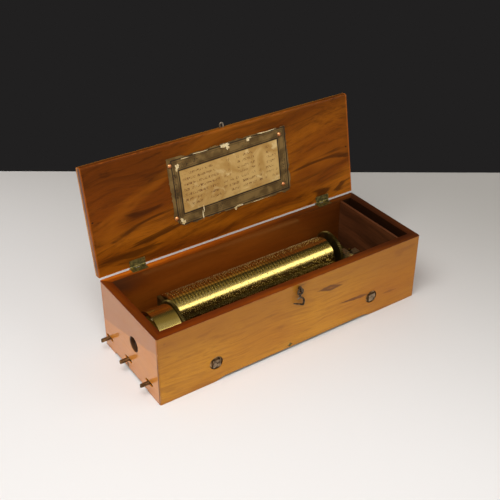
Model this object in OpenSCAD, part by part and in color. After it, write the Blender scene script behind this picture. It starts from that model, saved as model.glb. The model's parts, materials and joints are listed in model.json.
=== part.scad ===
// Key-wound cylinder musical box in a plain fruitwood case, with its lid open.
// Millimetres. The origin is the middle of the footprint, on the table.
// +X runs along the cylinder to the treble end, +Y to the hinged back, +Z up.

/* [Case] */
// Length of the case over its end boards
case_length = 360; // [348:1:400]
// Depth of the case over its front and back boards
case_depth = 128; // [127:0.5:150]
// Height of the case without the lid
case_height = 88; // [84:1:110]
// Thickness of the front board
front_thick = 11; // [9:0.5:13]
// Thickness of the back board and the end boards
wall_thick = 10; // [8:0.5:11]
// Thickness of the lid board
lid_thick = 9; // [7:0.5:12]
// Thickness of the bottom board
bottom_thick = 6.5; // [5:0.5:7]
// Height of the bottom board above the table
bottom_lift = 3.5; // [2:0.5:4]
// Height of the scoop between the feet
foot_scoop = 3.3; // [2:0.1:4]
// Radius of the upright outer corners
corner_r = 2; // [1:0.5:4]
// Thickness of the partition beside the key compartment
partition_thick = 3; // [2:0.5:4]
// Width of the key compartment
key_space = 13.6; // [10:0.2:16]

/* [Lid] */
// Angle to which the lid is open, from closed
lid_open = 100.5; // [95:0.5:110]
// Gap between the closed lid and the rim
lid_gap = 0.2; // [0.1:0.1:0.6]
// Length of a hinge
hinge_length = 20; // [15:1:30]
// Distance of each hinge's middle from its end of the case
hinge_inset = 48; // [30:1:70]
// Width of a hinge leaf across the board
leaf_width = 7.5; // [6:0.5:8]
// Radius of the hinge knuckles
knuckle_r = 1.5; // [1.3:0.1:1.6]
// Width of the tune sheet
sheet_width = 164; // [120:1:200]
// Height of the tune sheet
sheet_height = 83; // [60:1:95]

/* [Barrel] */
// Setback of the winding arbor from the front board's inner face
wind_setback = 42.6; // [41:0.2:46]
// Height of the winding arbor above the table
wind_height = 47.5; // [46:0.5:52]
// Radius of the keyhole in the left end board
keyhole_r = 8.5; // [6:0.5:10]
// Radius of the spring barrel's drum
drum_r = 29.5; // [26:0.5:30]
// Length of the spring barrel's drum
drum_length = 27; // [22:0.5:28]
// Thickness of the drum's wall
drum_wall = 1.2; // [0.8:0.1:2]
// Radius of the winding arbor
wind_arbor_r = 4; // [3:0.1:4.5]
// Teeth of the barrel's great wheel
barrel_teeth = 82; // [78:1:84]
// Leaves of the cylinder's pinion
pinion_leaves = 12; // [10:1:14]
// Module of the barrel's great wheel and the cylinder's pinion
barrel_module = 0.775; // [0.75:0.005:0.8]

/* [Cylinder and comb] */
// Length of the cylinder
cylinder_length = 225; // [200:0.5:236]
// Radius of the cylinder's tube, without its pins
cylinder_r = 22.6; // [21:0.1:23]
// Thickness of the cylinder's tube
tube_wall = 1.2; // [0.8:0.1:2]
// Height of a pin above the tube
pin_height = 0.8; // [0.6:0.1:1]
// Radius of the cylinder's arbor
cyl_arbor_r = 3; // [2:0.1:3.4]
// Sideways travel of the cylinder from the first tune to the last
tune_travel = 1.5; // [0.6:0.1:1.6]
// Number of tunes
tunes = 6; // [5:1:8]
// Teeth of the cylinder's great wheel
cyl_wheel_teeth = 66; // [60:1:66]
// Number of comb teeth
comb_teeth = 78; // [60:1:90]
// Length of the longest, bass, tooth
bass_tooth = 24; // [20:0.5:25]
// Length of the shortest, treble, tooth
treble_tooth = 15; // [12:0.5:19]
// Thickness of the comb
comb_thick = 2.2; // [1.6:0.1:3]
// Number of comb screws
comb_screws_n = 9; // [5:1:12]

/* [Bedplate] */
// Thickness of the bedplate
bed_thick = 6; // [5:0.5:7]
// Height of the bedplate's underside above the table
bed_lift = 23; // [22.5:0.5:24]
// Distance of each bedplate bolt from the middle of the case
bolt_spread = 109.5; // [80:0.5:116]
// Radius of the bedplate bolts
bolt_r = 2.2; // [1.8:0.1:2.6]

/* [Governor] */
// Module of the great wheel and the governor's first pinion
train_module = 0.8; // [0.78:0.01:0.8]
// Module of the governor's first wheel and second pinion
gov_module = 0.5; // [0.45:0.01:0.52]
// Teeth of the governor's first wheel
gov_teeth = 32; // [28:1:32]
// Teeth of the worm wheel
worm_teeth = 20; // [18:1:20]
// Radius swept by the fly
fly_r = 6; // [4:0.1:6.2]

/* [Levers] */
// Setback of the instant-stop lever from the front face
lever_front = 23; // [22:0.5:26]
// Setback of the change lever from the front face
lever_mid = 70; // [66:0.5:74]
// Setback of the stop lever from the front face
lever_back = 115.5; // [110:0.5:116]
// Length of each lever's slot
slot_length = 17; // [12:0.5:18]
// Height of each lever's slot
slot_height = 4.6; // [4:0.1:5.4]
// Height of the slots' middle above the table
slot_z = 16; // [15.6:0.1:16.4]
// Reach of the lever's handle outside the case
lever_reach = 11; // [8:0.5:16]
// Width of a lever
lever_width = 3; // [2:0.1:4]

/* [Hidden] */
$fn = 48;
big = 400;        // longer than the case
over = 1;         // how far a cut runs past the face that it opens
fit = 0.05;       // running clearance, and that of a screw in its hole
press = 0.02;     // clearance of pieces that turn together
seat = 0.3;       // clearance between moving faces
tip_gap = 0.2;    // room between a pin's end and the bottom of its hole

half_l = case_length / 2;
half_d = case_depth / 2;
in_x0 = -half_l + wall_thick;
in_x1 = half_l - wall_thick;
in_y0 = -half_d + front_thick;
in_y1 = half_d - wall_thick;
floor_z = bottom_lift + bottom_thick;

// Feet: the scoop starts and ends on smooth ramps.
foot_length = 68;
foot_ramp = 14;
end_foot_front = 17;
end_ramp_front = 28;
end_foot_back = 23;
end_ramp_back = 3;
ramp_steps = 6;

part_x0 = in_x1 - key_space - partition_thick;
part_drop = 0.6;

// Lid: modelled closed, then turned back about the hinge pins.
pin_out = 1.0;
pin_rise = 1.2;
pin_y = half_d + pin_out;
pin_z = case_height + lid_gap + pin_rise;
pin_r = 0.7;
leaf_thick = 1.2;
knuckle_gap = 0.15;
knuckle_web_y = 0.3;
knuckle_web_z = 0.6;
leaf_step = 1.2;
lid_r = 3;
lid_z0 = case_height + lid_gap;
lid_z1 = lid_z0 + lid_thick;
hinge_x = half_l - hinge_inset;
leaf_screw_r = 0.9;
leaf_head_r = 1.7;
leaf_head_h = 0.9;
leaf_screw_l = 6;
sheet_thick = 0.5;
sheet_x = 3;
sheet_back = 28.5;
tack_r = 2.6;
tack_rise = 1.3;
tack_pin_r = 0.6;
tack_pin_l = 4;
tack_xs = [sheet_x - sheet_width / 2 + 4, sheet_x + sheet_width / 2 - 10];
tack_rows = [sheet_back + 10.5, sheet_back + sheet_height - 9.5];

// Catch: wire staple on the lid, screw eye and hook on the front board.
staple_w = 6;
staple_out = 6.5;
wire_r = 1;
staple_leg = 5;
staple_bend = staple_w / 2 - wire_r;
staple_z = (lid_z0 + lid_z1) / 2;
eye_x = -1;
eye_drop = 5.5;
eye_ring_r = 2.7;
eye_wire_r = 0.9;
eye_shank_l = 7;
hook_ring_r = 3.3;
hook_wire_r = 1.2;
eye_y = -half_d - eye_ring_r - eye_wire_r - 0.1;
eye_z = case_height - eye_drop;
hook_z = eye_z - hook_ring_r;

// Barrel
wind_y = in_y0 + wind_setback;
wind_z = wind_height;
ratchet_r = 9.5;
ratchet_in_r = 8.6;
ratchet_teeth = 24;
ratchet_t = 2;
plate_t = 3;
square_side = 5.6;
keyhole_bevel = 1;
square_l = 4;
drum_gap = 1.5;
square_x0 = in_x0 + 0.5;
ratchet_x0 = square_x0 + square_l;
plate_x0 = ratchet_x0 + ratchet_t + 0.5;
drum_x0 = plate_x0 + plate_t + drum_gap;
drum_x1 = drum_x0 + drum_length;
wheel_t = 3;
wheel_x0 = drum_x1 + 1;
wheel_x1 = wheel_x0 + wheel_t;
barrel_wheel_r = barrel_teeth * barrel_module / 2;
pinion_r = pinion_leaves * barrel_module / 2;
hub_r = 9;
cap_t = 1.6;
spring_turns = 7;
spring_t = 0.5;
bearing_t = 4.5;
bearing_boss_r = 11;
bearing_half = 10;
bearing_rise = 22;
bearing_web = 6;
barrel_plate_half = 14;
barrel_plate_rise = 18;
bearing_x0 = wheel_x1 + 2;
bearing_x1 = bearing_x0 + bearing_t;

// Cylinder: its axis lies where its pinion meshes with the barrel's great wheel.
mesh_drop = 12;
pinion_extra = 0.5;
mesh_distance = barrel_wheel_r + pinion_r;
cyl_y = wind_y + mesh_distance * cos(mesh_drop);
cyl_z = wind_z - mesh_distance * sin(mesh_drop);
cyl_x0 = bearing_x1 + tune_travel + 1.5;
cyl_x1 = cyl_x0 + cylinder_length;
end_cap_t = 2.4;
snail_room = 7;
cyl_wheel_x0 = cyl_x1 + snail_room;
cyl_wheel_t = 3.6;
cyl_wheel_x1 = cyl_wheel_x0 + cyl_wheel_t;
cyl_wheel_r = cyl_wheel_teeth * train_module / 2;
post_t = 5;
post_x0 = cyl_wheel_x1 + 2;
post_half = 8;
snail_r = 8;
snail_stud_r = 1.4;
snail_head_r = 2.5;
snail_head_t = 1;
snail_offset = 14;
snail_base = 1.4;
snail_step = tune_travel / (tunes - 1);
snail_pin_r = 1.2;
snail_x1 = cyl_wheel_x0 - 0.4;
snail_x0 = snail_x1 - snail_base - tune_travel;
follow_r = 5.2;

// Comb
comb_tip_y = cyl_y - cylinder_r - pin_height - seat;
comb_depth = 36;
comb_y0 = comb_tip_y - comb_depth;
comb_z1 = cyl_z + 0.8;
comb_z0 = comb_z1 - comb_thick;
comb_edge = 3;
comb_x0 = cyl_x0 + comb_edge;
comb_x1 = cyl_x1 - comb_edge;
comb_slot = 0.6;
comb_pitch = (comb_x1 - comb_x0 + comb_slot) / comb_teeth;
comb_base_w = 10.5;
comb_screw_r = 1.5;
comb_head_r = 3.1;
comb_head_h = 1.6;
comb_screw_y = comb_y0 + 5.5;
comb_screw_bite = 3;
lead_side = 0.2;
lead_tip = 1;
lead_taper = 2 / 3;
lead_teeth = 26;
lead_h = 3;
lead_l = 5;

// Bedplate
bed_z0 = bed_lift;
bed_z1 = bed_lift + bed_thick;
bed_x0 = in_x0 + 2;
bed_x1 = part_x0 - 3;
bed_gap = 0.3;
bed_y0 = in_y0 + bed_gap;
bed_y1 = in_y1 - bed_gap;
well_gap = 1.5;
bolt_bite = 3;
bolt_z = bed_lift + bed_thick / 2;
bolt_head = 9.5;
bolt_head_h = 3.2;
washer_r = 7.2;
washer_t = 1;
recess_r = 8.3;
recess_d = 2.5;
case_screw_r = 1.2;
case_screw_head = 2.3;
case_screw_l = 16;
foot_screw_r = 1.2;
foot_screw_head = 2.4;
foot_screw_bite = 3.5;
flange_h = 4;
flange_w = 4;

// Governor: axes found from the meshing distances.
first_leaves = 8;
first_angle = 182;
second_leaves = 8;
second_angle = 20;
worm_module = 0.6;
worm_r = 1.5;
first_distance = cyl_wheel_r + first_leaves * train_module / 2;
first_y = cyl_y + first_distance * cos(first_angle);
first_z = cyl_z + first_distance * sin(first_angle);
second_distance = (gov_teeth + second_leaves) * gov_module / 2;
second_y = first_y + second_distance * cos(second_angle);
second_z = first_z + second_distance * sin(second_angle);
worm_wheel_r = worm_teeth * worm_module / 2;
worm_y = second_y - worm_wheel_r - worm_r;
gov_arbor_r = 0.9;
gov_x0 = cyl_wheel_x1 + 1;
gov_plate_t = 1.4;
gov_wheel_x0 = gov_x0 + gov_plate_t + 0.6;
gov_wheel_t = 1.3;
gov_right_t = 3.6;
gov_x1 = gov_wheel_x0 + gov_wheel_t + 1.2 + gov_right_t;
gov_screw_x = gov_x1 - gov_right_t / 2;
worm_x = gov_x1 + fly_r + 0.7;
worm_wheel_t = 1;
gov_pit = 7.6;
gov_sill = 5;
gov_floor = 0.8;
gov_foot = 1.4;
gov_y0 = first_y - gov_pit - gov_foot;
gov_screw_y = gov_y0 + 8;
gov_y1 = second_y + 5;
gov_top = second_z + 7.5;
gov_top_t = 2.5;
worm_thread_z0 = second_z - 5;
worm_thread_z1 = second_z + 5;
worm_lead = PI * worm_module;
worm_core_r = 0.9;
worm_tip_r = 1.95;
worm_z0 = bed_z1 + 1;
bridge_t = 2;
bridge_w = 7;
bridge_y0 = gov_y0 + 4.5;
bridge_nose = 3;
bridge_foot_h = 1.4;
bridge_pivot_l = 1.4;
bridge_screw_r = 1;
bridge_screw_l = 5;
bridge_head_r = 1.9;
bridge_head_h = 1.1;
pivot_r = worm_core_r - 0.05;
worm_hub_r = 2;
worm_hub_l = 1.5;
fly_hub_r = 1.8;
fly_z0 = bed_z1 + 1.8;
fly_z1 = second_z - worm_wheel_r - 1.2;
vane_t = 0.5;

// Levers
slot_point = 2;
lever_h = slot_height - 0.7;
lever_z0 = slot_z - lever_h / 2;
lever_z1 = slot_z + lever_h / 2;
lever_pivot_x = in_x0 + 22;
lever_tail = 8;
lever_hub_r = 5;
stud_r = 2.4;
stud_head_r = 3.8;
stud_head_h = 1;
stud_gap = 0.2;
lever_ys = [-half_d + lever_front, -half_d + lever_mid, -half_d + lever_back];

// A lever's pivot lies behind its slot, or as near as the back board allows.
function lever_pivot_y(y) = min(y, in_y1 - lever_hub_r - 0.8);

// Shares of the tooth pitch taken by the metal at tip, pitch line and root,
// and the tooth's height above and below the pitch line in modules.
WHEEL = [0.22, 0.48, 0.64, 0.85, 1.15];
PINION = [0.22, 0.44, 0.48, 0.60, 1.35];
WORM_WHEEL = [0.16, 0.38, 0.56, 0.70, 1.00];

WOOD = [0.74, 0.50, 0.22];
RIM_WOOD = [0.52, 0.27, 0.10];
BRASS = [0.78, 0.62, 0.25];
DARK_BRASS = [0.42, 0.33, 0.16];
STEEL = [0.55, 0.56, 0.58];
BLUE_STEEL = [0.22, 0.22, 0.26];
PAPER = [0.74, 0.62, 0.38];

// ---------- shared shapes ----------

module x_rod(r, x0, x1, y, z) translate([x0, y, z]) rotate([0, 90, 0]) cylinder(r = r, h = x1 - x0);
module y_rod(r, x, y0, y1, z) translate([x, y0, z]) rotate([-90, 0, 0]) cylinder(r = r, h = y1 - y0);
module z_rod(r, x, y, z0, z1) translate([x, y, z0]) cylinder(r = r, h = z1 - z0);
module block(low, high) translate(low) cube(high - low);

// Draws its 2D child in the YZ plane, with its own x axis along Y, from x0 to x1.
module yz_plate(x0, x1, y, z) translate([x0, y, z]) rotate([90, 0, 90]) linear_extrude(x1 - x0) children();

// Half the width of a disc of radius r at a height dz from its centre.
function chord(r, dz) = abs(dz) < r ? sqrt(r * r - dz * dz) : 0;

function polar(r, a) = [r * cos(a), r * sin(a)];

// One ring of teeth; turn is the angle of the first tooth's middle.
function tooth_points(teeth, m, shape, turn) =
    let (step = 360 / teeth, rp = teeth * m / 2, rt = rp + shape[3] * m, rr = rp - shape[4] * m)
    [for (i = [0 : teeth - 1]) let (a = turn + i * step) each [
        polar(rr, a - shape[2] * step / 2), polar(rp, a - shape[1] * step / 2),
        polar(rt, a - shape[0] * step / 2), polar(rt, a + shape[0] * step / 2),
        polar(rp, a + shape[1] * step / 2), polar(rr, a + shape[2] * step / 2)]];

// A toothed disc on the X axis, with a tooth (or a gap) pointing along the angle aim.
module toothed(teeth, m, shape, x0, x1, y, z, aim, gap = false)
    yz_plate(x0, x1, y, z)
        polygon(tooth_points(teeth, m, shape, aim + (gap ? 180 / teeth : 0)));

// ---------- case ----------

// A smooth rise from x0 at the ground to x1 at height h.
function rise(x0, x1, h) =
    [for (i = [0 : ramp_steps]) [x0 + (x1 - x0) * i / ramp_steps, h * (1 - cos(180 * i / ramp_steps)) / 2]];

function scoop_points(a0, a1, b1, b0) =
    concat([[a0, -over]], rise(a0, a1, foot_scoop),
        [for (p = rise(b1, b0, -foot_scoop)) p + [0, foot_scoop]], [[b0, -over]]);

module case_plan() {
    translate([-half_l + corner_r, -half_d]) square([case_length - 2 * corner_r, case_depth]);
    translate([-half_l, -half_d + corner_r]) square([case_length, case_depth - 2 * corner_r]);
    for (sx = [-1, 1], sy = [-1, 1])
        translate([sx * (half_l - corner_r), sy * (half_d - corner_r)]) circle(r = corner_r);
}

// A board of the case: its mitred plan, within the rounded outline.
module board(points) linear_extrude(case_height) intersection() {
    case_plan();
    polygon(points);
}

// The scoop under a long board.
module long_scoop()
    translate([0, big / 2, 0]) rotate([90, 0, 0]) linear_extrude(big)
        polygon(scoop_points(-half_l + foot_length, -half_l + foot_length + foot_ramp,
            half_l - foot_length - foot_ramp, half_l - foot_length));

// The scoop under an end board.
module end_scoop()
    yz_plate(-big / 2, big / 2, 0, 0)
        polygon(scoop_points(-half_d + end_foot_front, -half_d + end_foot_front + end_ramp_front,
            half_d - end_foot_back - end_ramp_back, half_d - end_foot_back));

module bolt_hole(side, y_face) for (x = [-bolt_spread, bolt_spread]) {
    y_rod(bolt_r + fit, x, y_face - front_thick - over, y_face + front_thick + over, bolt_z);
    translate([x, y_face, bolt_z]) rotate([side * 90, 0, 0])
        translate([0, 0, -recess_d]) cylinder(r = recess_r, h = recess_d + over);
}

module front_board() color(WOOD) difference() {
    board([[-half_l, -half_d], [half_l, -half_d], [in_x1, in_y0], [in_x0, in_y0]]);
    long_scoop();
    bolt_hole(1, -half_d);
    case_screw_holes(0);
    y_rod(eye_wire_r + fit, eye_x, -half_d - over, -half_d + eye_shank_l, eye_z);
}

module back_board() color(WOOD) difference() {
    board([[-half_l, half_d], [in_x0, in_y1], [in_x1, in_y1], [half_l, half_d]]);
    long_scoop();
    bolt_hole(-1, half_d);
    case_screw_holes(180);
    for (s = [-1, 1]) {
        translate([s * hinge_x, 0, 0]) case_leaf_cut();
        leaf_screw_holes(s, case_height, -1);
    }
}

// A lever's slot, cut to a point at both ends.
module slot_outline() {
    half = slot_length / 2;
    rise_z = slot_height / 2;
    polygon([[-half, 0], [-half + slot_point, -rise_z], [half - slot_point, -rise_z],
        [half, 0], [half - slot_point, rise_z], [-half + slot_point, rise_z]]);
}

module left_end_board() color(WOOD) difference() {
    board([[-half_l, -half_d], [in_x0, in_y0], [in_x0, in_y1], [-half_l, half_d]]);
    end_scoop();
    x_rod(keyhole_r, -half_l - 1, in_x0 + 1, wind_y, wind_z);
    translate([-half_l - 0.01, wind_y, wind_z]) rotate([0, 90, 0])
        cylinder(r1 = keyhole_r + keyhole_bevel, r2 = keyhole_r, h = keyhole_bevel);
    for (y = lever_ys) yz_plate(-half_l - over, in_x0 + over, y, slot_z) slot_outline();
    case_screw_holes(-90);
}

module right_end_board() color(WOOD) difference() {
    board([[half_l, -half_d], [half_l, half_d], [in_x1, in_y1], [in_x1, in_y0]]);
    end_scoop();
    case_screw_holes(90);
}

module bottom_board() color(RIM_WOOD) difference() {
    block([in_x0, in_y0, bottom_lift], [in_x1, in_y1, floor_z]);
    for (a = [0, 90, 180, -90]) case_screw_holes(a);
}

// Screws through the four sides into the bottom board's edges: 0 is the front.
function screw_reach(a) = a == 0 || a == 180 ? half_d : half_l;
function screw_shift(a) = a == 0 ? -10.3 : a == -90 ? -8.3 : 0;
case_screw_z = bottom_lift + bottom_thick / 2;

module at_case_screw(a)
    rotate([0, 0, a]) translate([screw_shift(a), -screw_reach(a), case_screw_z])
        rotate([-90, 0, 0]) children();

module case_screw_holes(a) at_case_screw(a) {
    translate([0, 0, -1]) cylinder(r = case_screw_r + fit, h = case_screw_l + 1.1);
    translate([0, 0, -1]) cylinder(r = case_screw_head + fit, h = 2.2);
}

module bottom_screws() color(DARK_BRASS) for (a = [0, 90, 180, -90]) at_case_screw(a) difference() {
    union() {
        translate([0, 0, 0.3]) cylinder(r = case_screw_r, h = case_screw_l - 0.3);
        translate([0, 0, 0.3]) cylinder(r = case_screw_head, h = 0.9);
    }
    translate([-3, -0.3, 0]) cube([6, 0.6, 0.6]);
}

module key_partition() color(RIM_WOOD)
    block([part_x0, in_y0, floor_z], [part_x0 + partition_thick, in_y1, case_height - part_drop]);

// ---------- lid ----------

// Turns a piece of the closed lid to its open place.
module opened()
    translate([0, pin_y, pin_z]) rotate([-lid_open, 0, 0]) translate([0, -pin_y, -pin_z]) children();

module lid_profile() {
    translate([-half_d + lid_r, lid_z0]) square([case_depth - lid_r, lid_thick]);
    translate([-half_d, lid_z0 + lid_r]) square([case_depth, lid_thick - 2 * lid_r]);
    for (z = [lid_z0 + lid_r, lid_z1 - lid_r]) translate([-half_d + lid_r, z]) circle(r = lid_r);
}

module lid_board() color(WOOD) opened() difference() {
    rotate([90, 0, 90]) translate([0, 0, -half_l]) linear_extrude(case_length) lid_profile();
    for (s = [-1, 1]) {
        x_rod(knuckle_r + 0.2, s * hinge_x - hinge_length / 2 - seat,
            s * hinge_x + hinge_length / 2 + seat, pin_y, pin_z);
        block([s * hinge_x - hinge_length / 2 - fit, half_d - leaf_width - fit, lid_z0 - 1],
            [s * hinge_x + hinge_length / 2 + fit, half_d + 1, lid_z0 + leaf_thick + fit]);
        leaf_screw_holes(s, lid_z0, 1);
    }
    tack_holes();
    for (s = [-1, 1])
        y_rod(wire_r + fit, s * staple_bend, -half_d - over, -half_d + staple_leg, staple_z);
}

// Screws of a hinge leaf: dir is 1 up into the lid, -1 down into the case.
module at_leaf_screws(s, z, dir) for (dx = [-1, 1])
    translate([s * hinge_x + dx * hinge_length * 0.3, half_d - leaf_width / 2 - 0.6, z])
        rotate([dir > 0 ? 0 : 180, 0, 0]) children();

module leaf_screw_holes(s, z, dir) at_leaf_screws(s, z, dir) {
    translate([0, 0, -1]) cylinder(r = leaf_screw_r + fit, h = leaf_screw_l + 1.1);
    translate([0, 0, -1]) cylinder(r = leaf_head_r + fit, h = leaf_head_h + 1.05);
}

module leaf_screws(s, z, dir) at_leaf_screws(s, z, dir) difference() {
    union() {
        translate([0, 0, 0.05]) cylinder(r = leaf_screw_r, h = leaf_screw_l - 0.05);
        translate([0, 0, 0.05]) cylinder(r = leaf_head_r, h = leaf_head_h - 0.05);
    }
    translate([-2, -0.2, -0.1]) cube([4, 0.4, 0.45]);
}

module case_leaf_cut()
    block([-hinge_length / 2 - fit, half_d - leaf_width - fit, case_height - leaf_thick - fit],
        [hinge_length / 2 + fit, half_d + 1, case_height + 1]);

knuckle_l = hinge_length / 3;

module hinge_case_leaves() color(BRASS) for (s = [-1, 1]) difference() {
    translate([s * hinge_x, 0, 0]) {
        block([-hinge_length / 2, half_d - leaf_width, case_height - leaf_thick],
            [hinge_length / 2, half_d, case_height]);
        for (k = [-1, 1]) {
            a = k * (knuckle_l / 2 + knuckle_gap);
            b = k * hinge_length / 2;
            difference() {
                union() {
                    x_rod(knuckle_r, min(a, b), max(a, b), pin_y, pin_z);
                    block([min(a, b), half_d, case_height - leaf_thick],
                        [max(a, b), pin_y + knuckle_r - knuckle_web_y, pin_z - knuckle_web_z]);
                }
                x_rod(pin_r + press, -big, big, pin_y, pin_z);
            }
        }
    }
    leaf_screw_holes(s, case_height, -1);
}

module hinge_lid_leaves() color(BRASS) opened() for (s = [-1, 1]) difference() {
    union() {
        block([s * hinge_x - hinge_length / 2, half_d - leaf_width, lid_z0],
            [s * hinge_x + hinge_length / 2, half_d - leaf_step, lid_z0 + leaf_thick]);
        block([s * hinge_x - knuckle_l / 2, half_d - leaf_step - 0.1, lid_z0 + 0.2],
            [s * hinge_x + knuckle_l / 2, pin_y, lid_z0 + leaf_thick]);
        x_rod(knuckle_r, s * hinge_x - knuckle_l / 2, s * hinge_x + knuckle_l / 2, pin_y, pin_z);
    }
    x_rod(pin_r + fit, s * hinge_x - hinge_length, s * hinge_x + hinge_length, pin_y, pin_z);
    leaf_screw_holes(s, lid_z0, 1);
}

module hinge_pins() color(STEEL) for (s = [-1, 1])
    x_rod(pin_r, s * hinge_x - hinge_length / 2, s * hinge_x + hinge_length / 2, pin_y, pin_z);

module hinge_case_screws() color(DARK_BRASS) for (s = [-1, 1]) leaf_screws(s, case_height, -1);

module hinge_lid_screws() color(DARK_BRASS) opened() for (s = [-1, 1]) leaf_screws(s, lid_z0, 1);

module tune_sheet() color(PAPER) opened() difference() {
    block([sheet_x - sheet_width / 2, half_d - sheet_back - sheet_height, lid_z0 - sheet_thick],
        [sheet_x + sheet_width / 2, half_d - sheet_back, lid_z0]);
    tack_holes();
}

module tack_holes() for (x = tack_xs, y = tack_rows)
    z_rod(tack_pin_r + fit, x, half_d - y, lid_z0 - 2 * sheet_thick, lid_z0 + tack_pin_l);

module tune_sheet_tacks() color(BRASS) opened() for (x = tack_xs, y = tack_rows)
    translate([x, half_d - y, lid_z0 - sheet_thick]) {
        cylinder(r = tack_pin_r, h = tack_pin_l);
        rotate([180, 0, 0]) rotate_extrude() intersection() {
            translate([0, tack_rise - (tack_r * tack_r + tack_rise * tack_rise) / (2 * tack_rise)])
                circle(r = (tack_r * tack_r + tack_rise * tack_rise) / (2 * tack_rise));
            square([tack_r, tack_rise]);
        }
    }

// ---------- catch ----------

// A wire bent round part of a ring, in its own XY plane.
module wire_arc(ring, wire, a0, sweep)
    rotate([0, 0, a0]) rotate_extrude(angle = sweep) translate([ring, 0]) circle(r = wire);

module lid_staple() color(STEEL) opened() translate([0, -half_d, staple_z]) {
    for (s = [-1, 1]) y_rod(wire_r, s * staple_bend, -staple_out + staple_w / 2, staple_leg - tip_gap, 0);
    translate([0, -staple_out + staple_w / 2, 0]) wire_arc(staple_bend, wire_r, 180, 180);
}

module hook_screw_eye() color(BLUE_STEEL) {
    translate([eye_x, eye_y, eye_z]) rotate([90, 0, 90]) wire_arc(eye_ring_r, eye_wire_r, 0, 360);
    y_rod(eye_wire_r, eye_x, eye_y + eye_ring_r, -half_d + eye_shank_l - tip_gap, eye_z);
}

// The hook hangs from its own ring: a neck with a spur, a bow out to the right, then a tail back to the left.
hook_bow_r = 7.2;
hook_bow_x = -1.8;
hook_bow_drop = 14.6;
hook_bow_top = 80;
hook_bow_foot = -36;
hook_tail_l = 14;
hook_tail_angle = 154;
hook_spur_l = 3.8;
hook_spur_angle = 205;
hook_taper = 0.6;

function on_bow(a) = [hook_bow_x + hook_bow_r * cos(a), hook_bow_r * sin(a) - hook_bow_drop];

// A straight length of the hook's wire, which thins to a share of its radius.
module hook_wire(from, angle, length, taper = 1)
    translate([from[0], from[1], 0]) rotate([0, 90, angle])
        cylinder(r1 = hook_wire_r, r2 = hook_wire_r * taper, h = length);

module catch_hook() color(BLUE_STEEL) translate([eye_x, eye_y, hook_z]) rotate([90, 0, 0]) {
    top = on_bow(hook_bow_top);
    foot = on_bow(hook_bow_foot);
    neck = [top[0], top[1] + hook_ring_r];
    wire_arc(hook_ring_r, hook_wire_r, 0, 360);
    hook_wire([0, -hook_ring_r], atan2(neck[1], neck[0]), norm(neck));
    translate([hook_bow_x, -hook_bow_drop, 0])
        wire_arc(hook_bow_r, hook_wire_r, hook_bow_foot, hook_bow_top - hook_bow_foot);
    for (bend = [top, foot]) translate([bend[0], bend[1], 0]) sphere(r = hook_wire_r);
    hook_wire(foot, hook_tail_angle, hook_tail_l, hook_taper);
    hook_wire(top, hook_spur_angle, hook_spur_l, hook_taper);
}

// ---------- bedplate ----------

barrel_reach = barrel_wheel_r + barrel_module + well_gap;

module bedplate() color(DARK_BRASS) difference() {
    block([bed_x0, bed_y0, bed_z0], [bed_x1, bed_y1, bed_z1]);
    // Well for the barrel and its great wheel.
    w = chord(barrel_reach, wind_z - bed_z1);
    block([drum_x0 - over, wind_y - w, bed_z0 - over], [wheel_x1 + over, wind_y + w, bed_z1 + over]);
    // Well for the cylinder, and a wider one for its great wheel.
    c = chord(cylinder_r + pin_height + well_gap, cyl_z - bed_z1);
    block([bearing_x1 + 0.8, cyl_y - c, bed_z0 - over], [cyl_wheel_x0 - over, cyl_y + c, bed_z1 + over]);
    g = chord(cyl_wheel_r + train_module + 0.8, cyl_z - bed_z1);
    block([cyl_wheel_x0 - 2, cyl_y - g, bed_z0 - over], [cyl_wheel_x1 + 0.8, cyl_y + g, bed_z1 + over]);
    for (x = [-bolt_spread, bolt_spread]) {
        y_rod(bolt_r + fit, x, bed_y0 - over, bed_y0 + bolt_bite + 0.3, bolt_z);
        y_rod(bolt_r + fit, x, bed_y1 - bolt_bite - 0.3, bed_y1 + over, bolt_z);
    }
    for (p = plate_screw_spots) z_rod(foot_screw_r + fit, p[0], p[1], bed_z0 - over, bed_z1 + 1);
    for (i = [0 : comb_screws_n - 1])
        z_rod(comb_screw_r + fit, comb_screw_x(i), comb_screw_y, bed_z1 - comb_screw_bite, bed_z1 + over);
}

module bedplate_bolts() color(BLUE_STEEL) for (s = [-1, 1], x = [-bolt_spread, bolt_spread]) {
    y_face = s * half_d;
    y_seat = y_face - s * (recess_d - washer_t);
    y_end = s < 0 ? bed_y0 + bolt_bite : bed_y1 - bolt_bite;
    y_rod(bolt_r, x, min(y_seat, y_end), max(y_seat, y_end), bolt_z);
    translate([x - bolt_head / 2, s < 0 ? y_seat - bolt_head_h : y_seat, bolt_z - bolt_head / 2])
        cube([bolt_head, bolt_head_h, bolt_head]);
}

module bolt_washers() color(STEEL) for (s = [-1, 1], x = [-bolt_spread, bolt_spread]) difference() {
    y_floor = s * (half_d - recess_d);
    y_rod(washer_r, x, min(y_floor, y_floor + s * washer_t), max(y_floor, y_floor + s * washer_t), bolt_z);
    y_rod(bolt_r + fit, x, y_floor - 5, y_floor + 5, bolt_z);
}

// ---------- comb ----------

function comb_tooth_x(i) = comb_x0 + i * comb_pitch;
function comb_root_y(i) = comb_tip_y - bass_tooth + (bass_tooth - treble_tooth) * i / (comb_teeth - 1);
function comb_screw_x(i) = comb_x0 + (comb_x1 - comb_x0) * (i + 0.5) / comb_screws_n;

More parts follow.
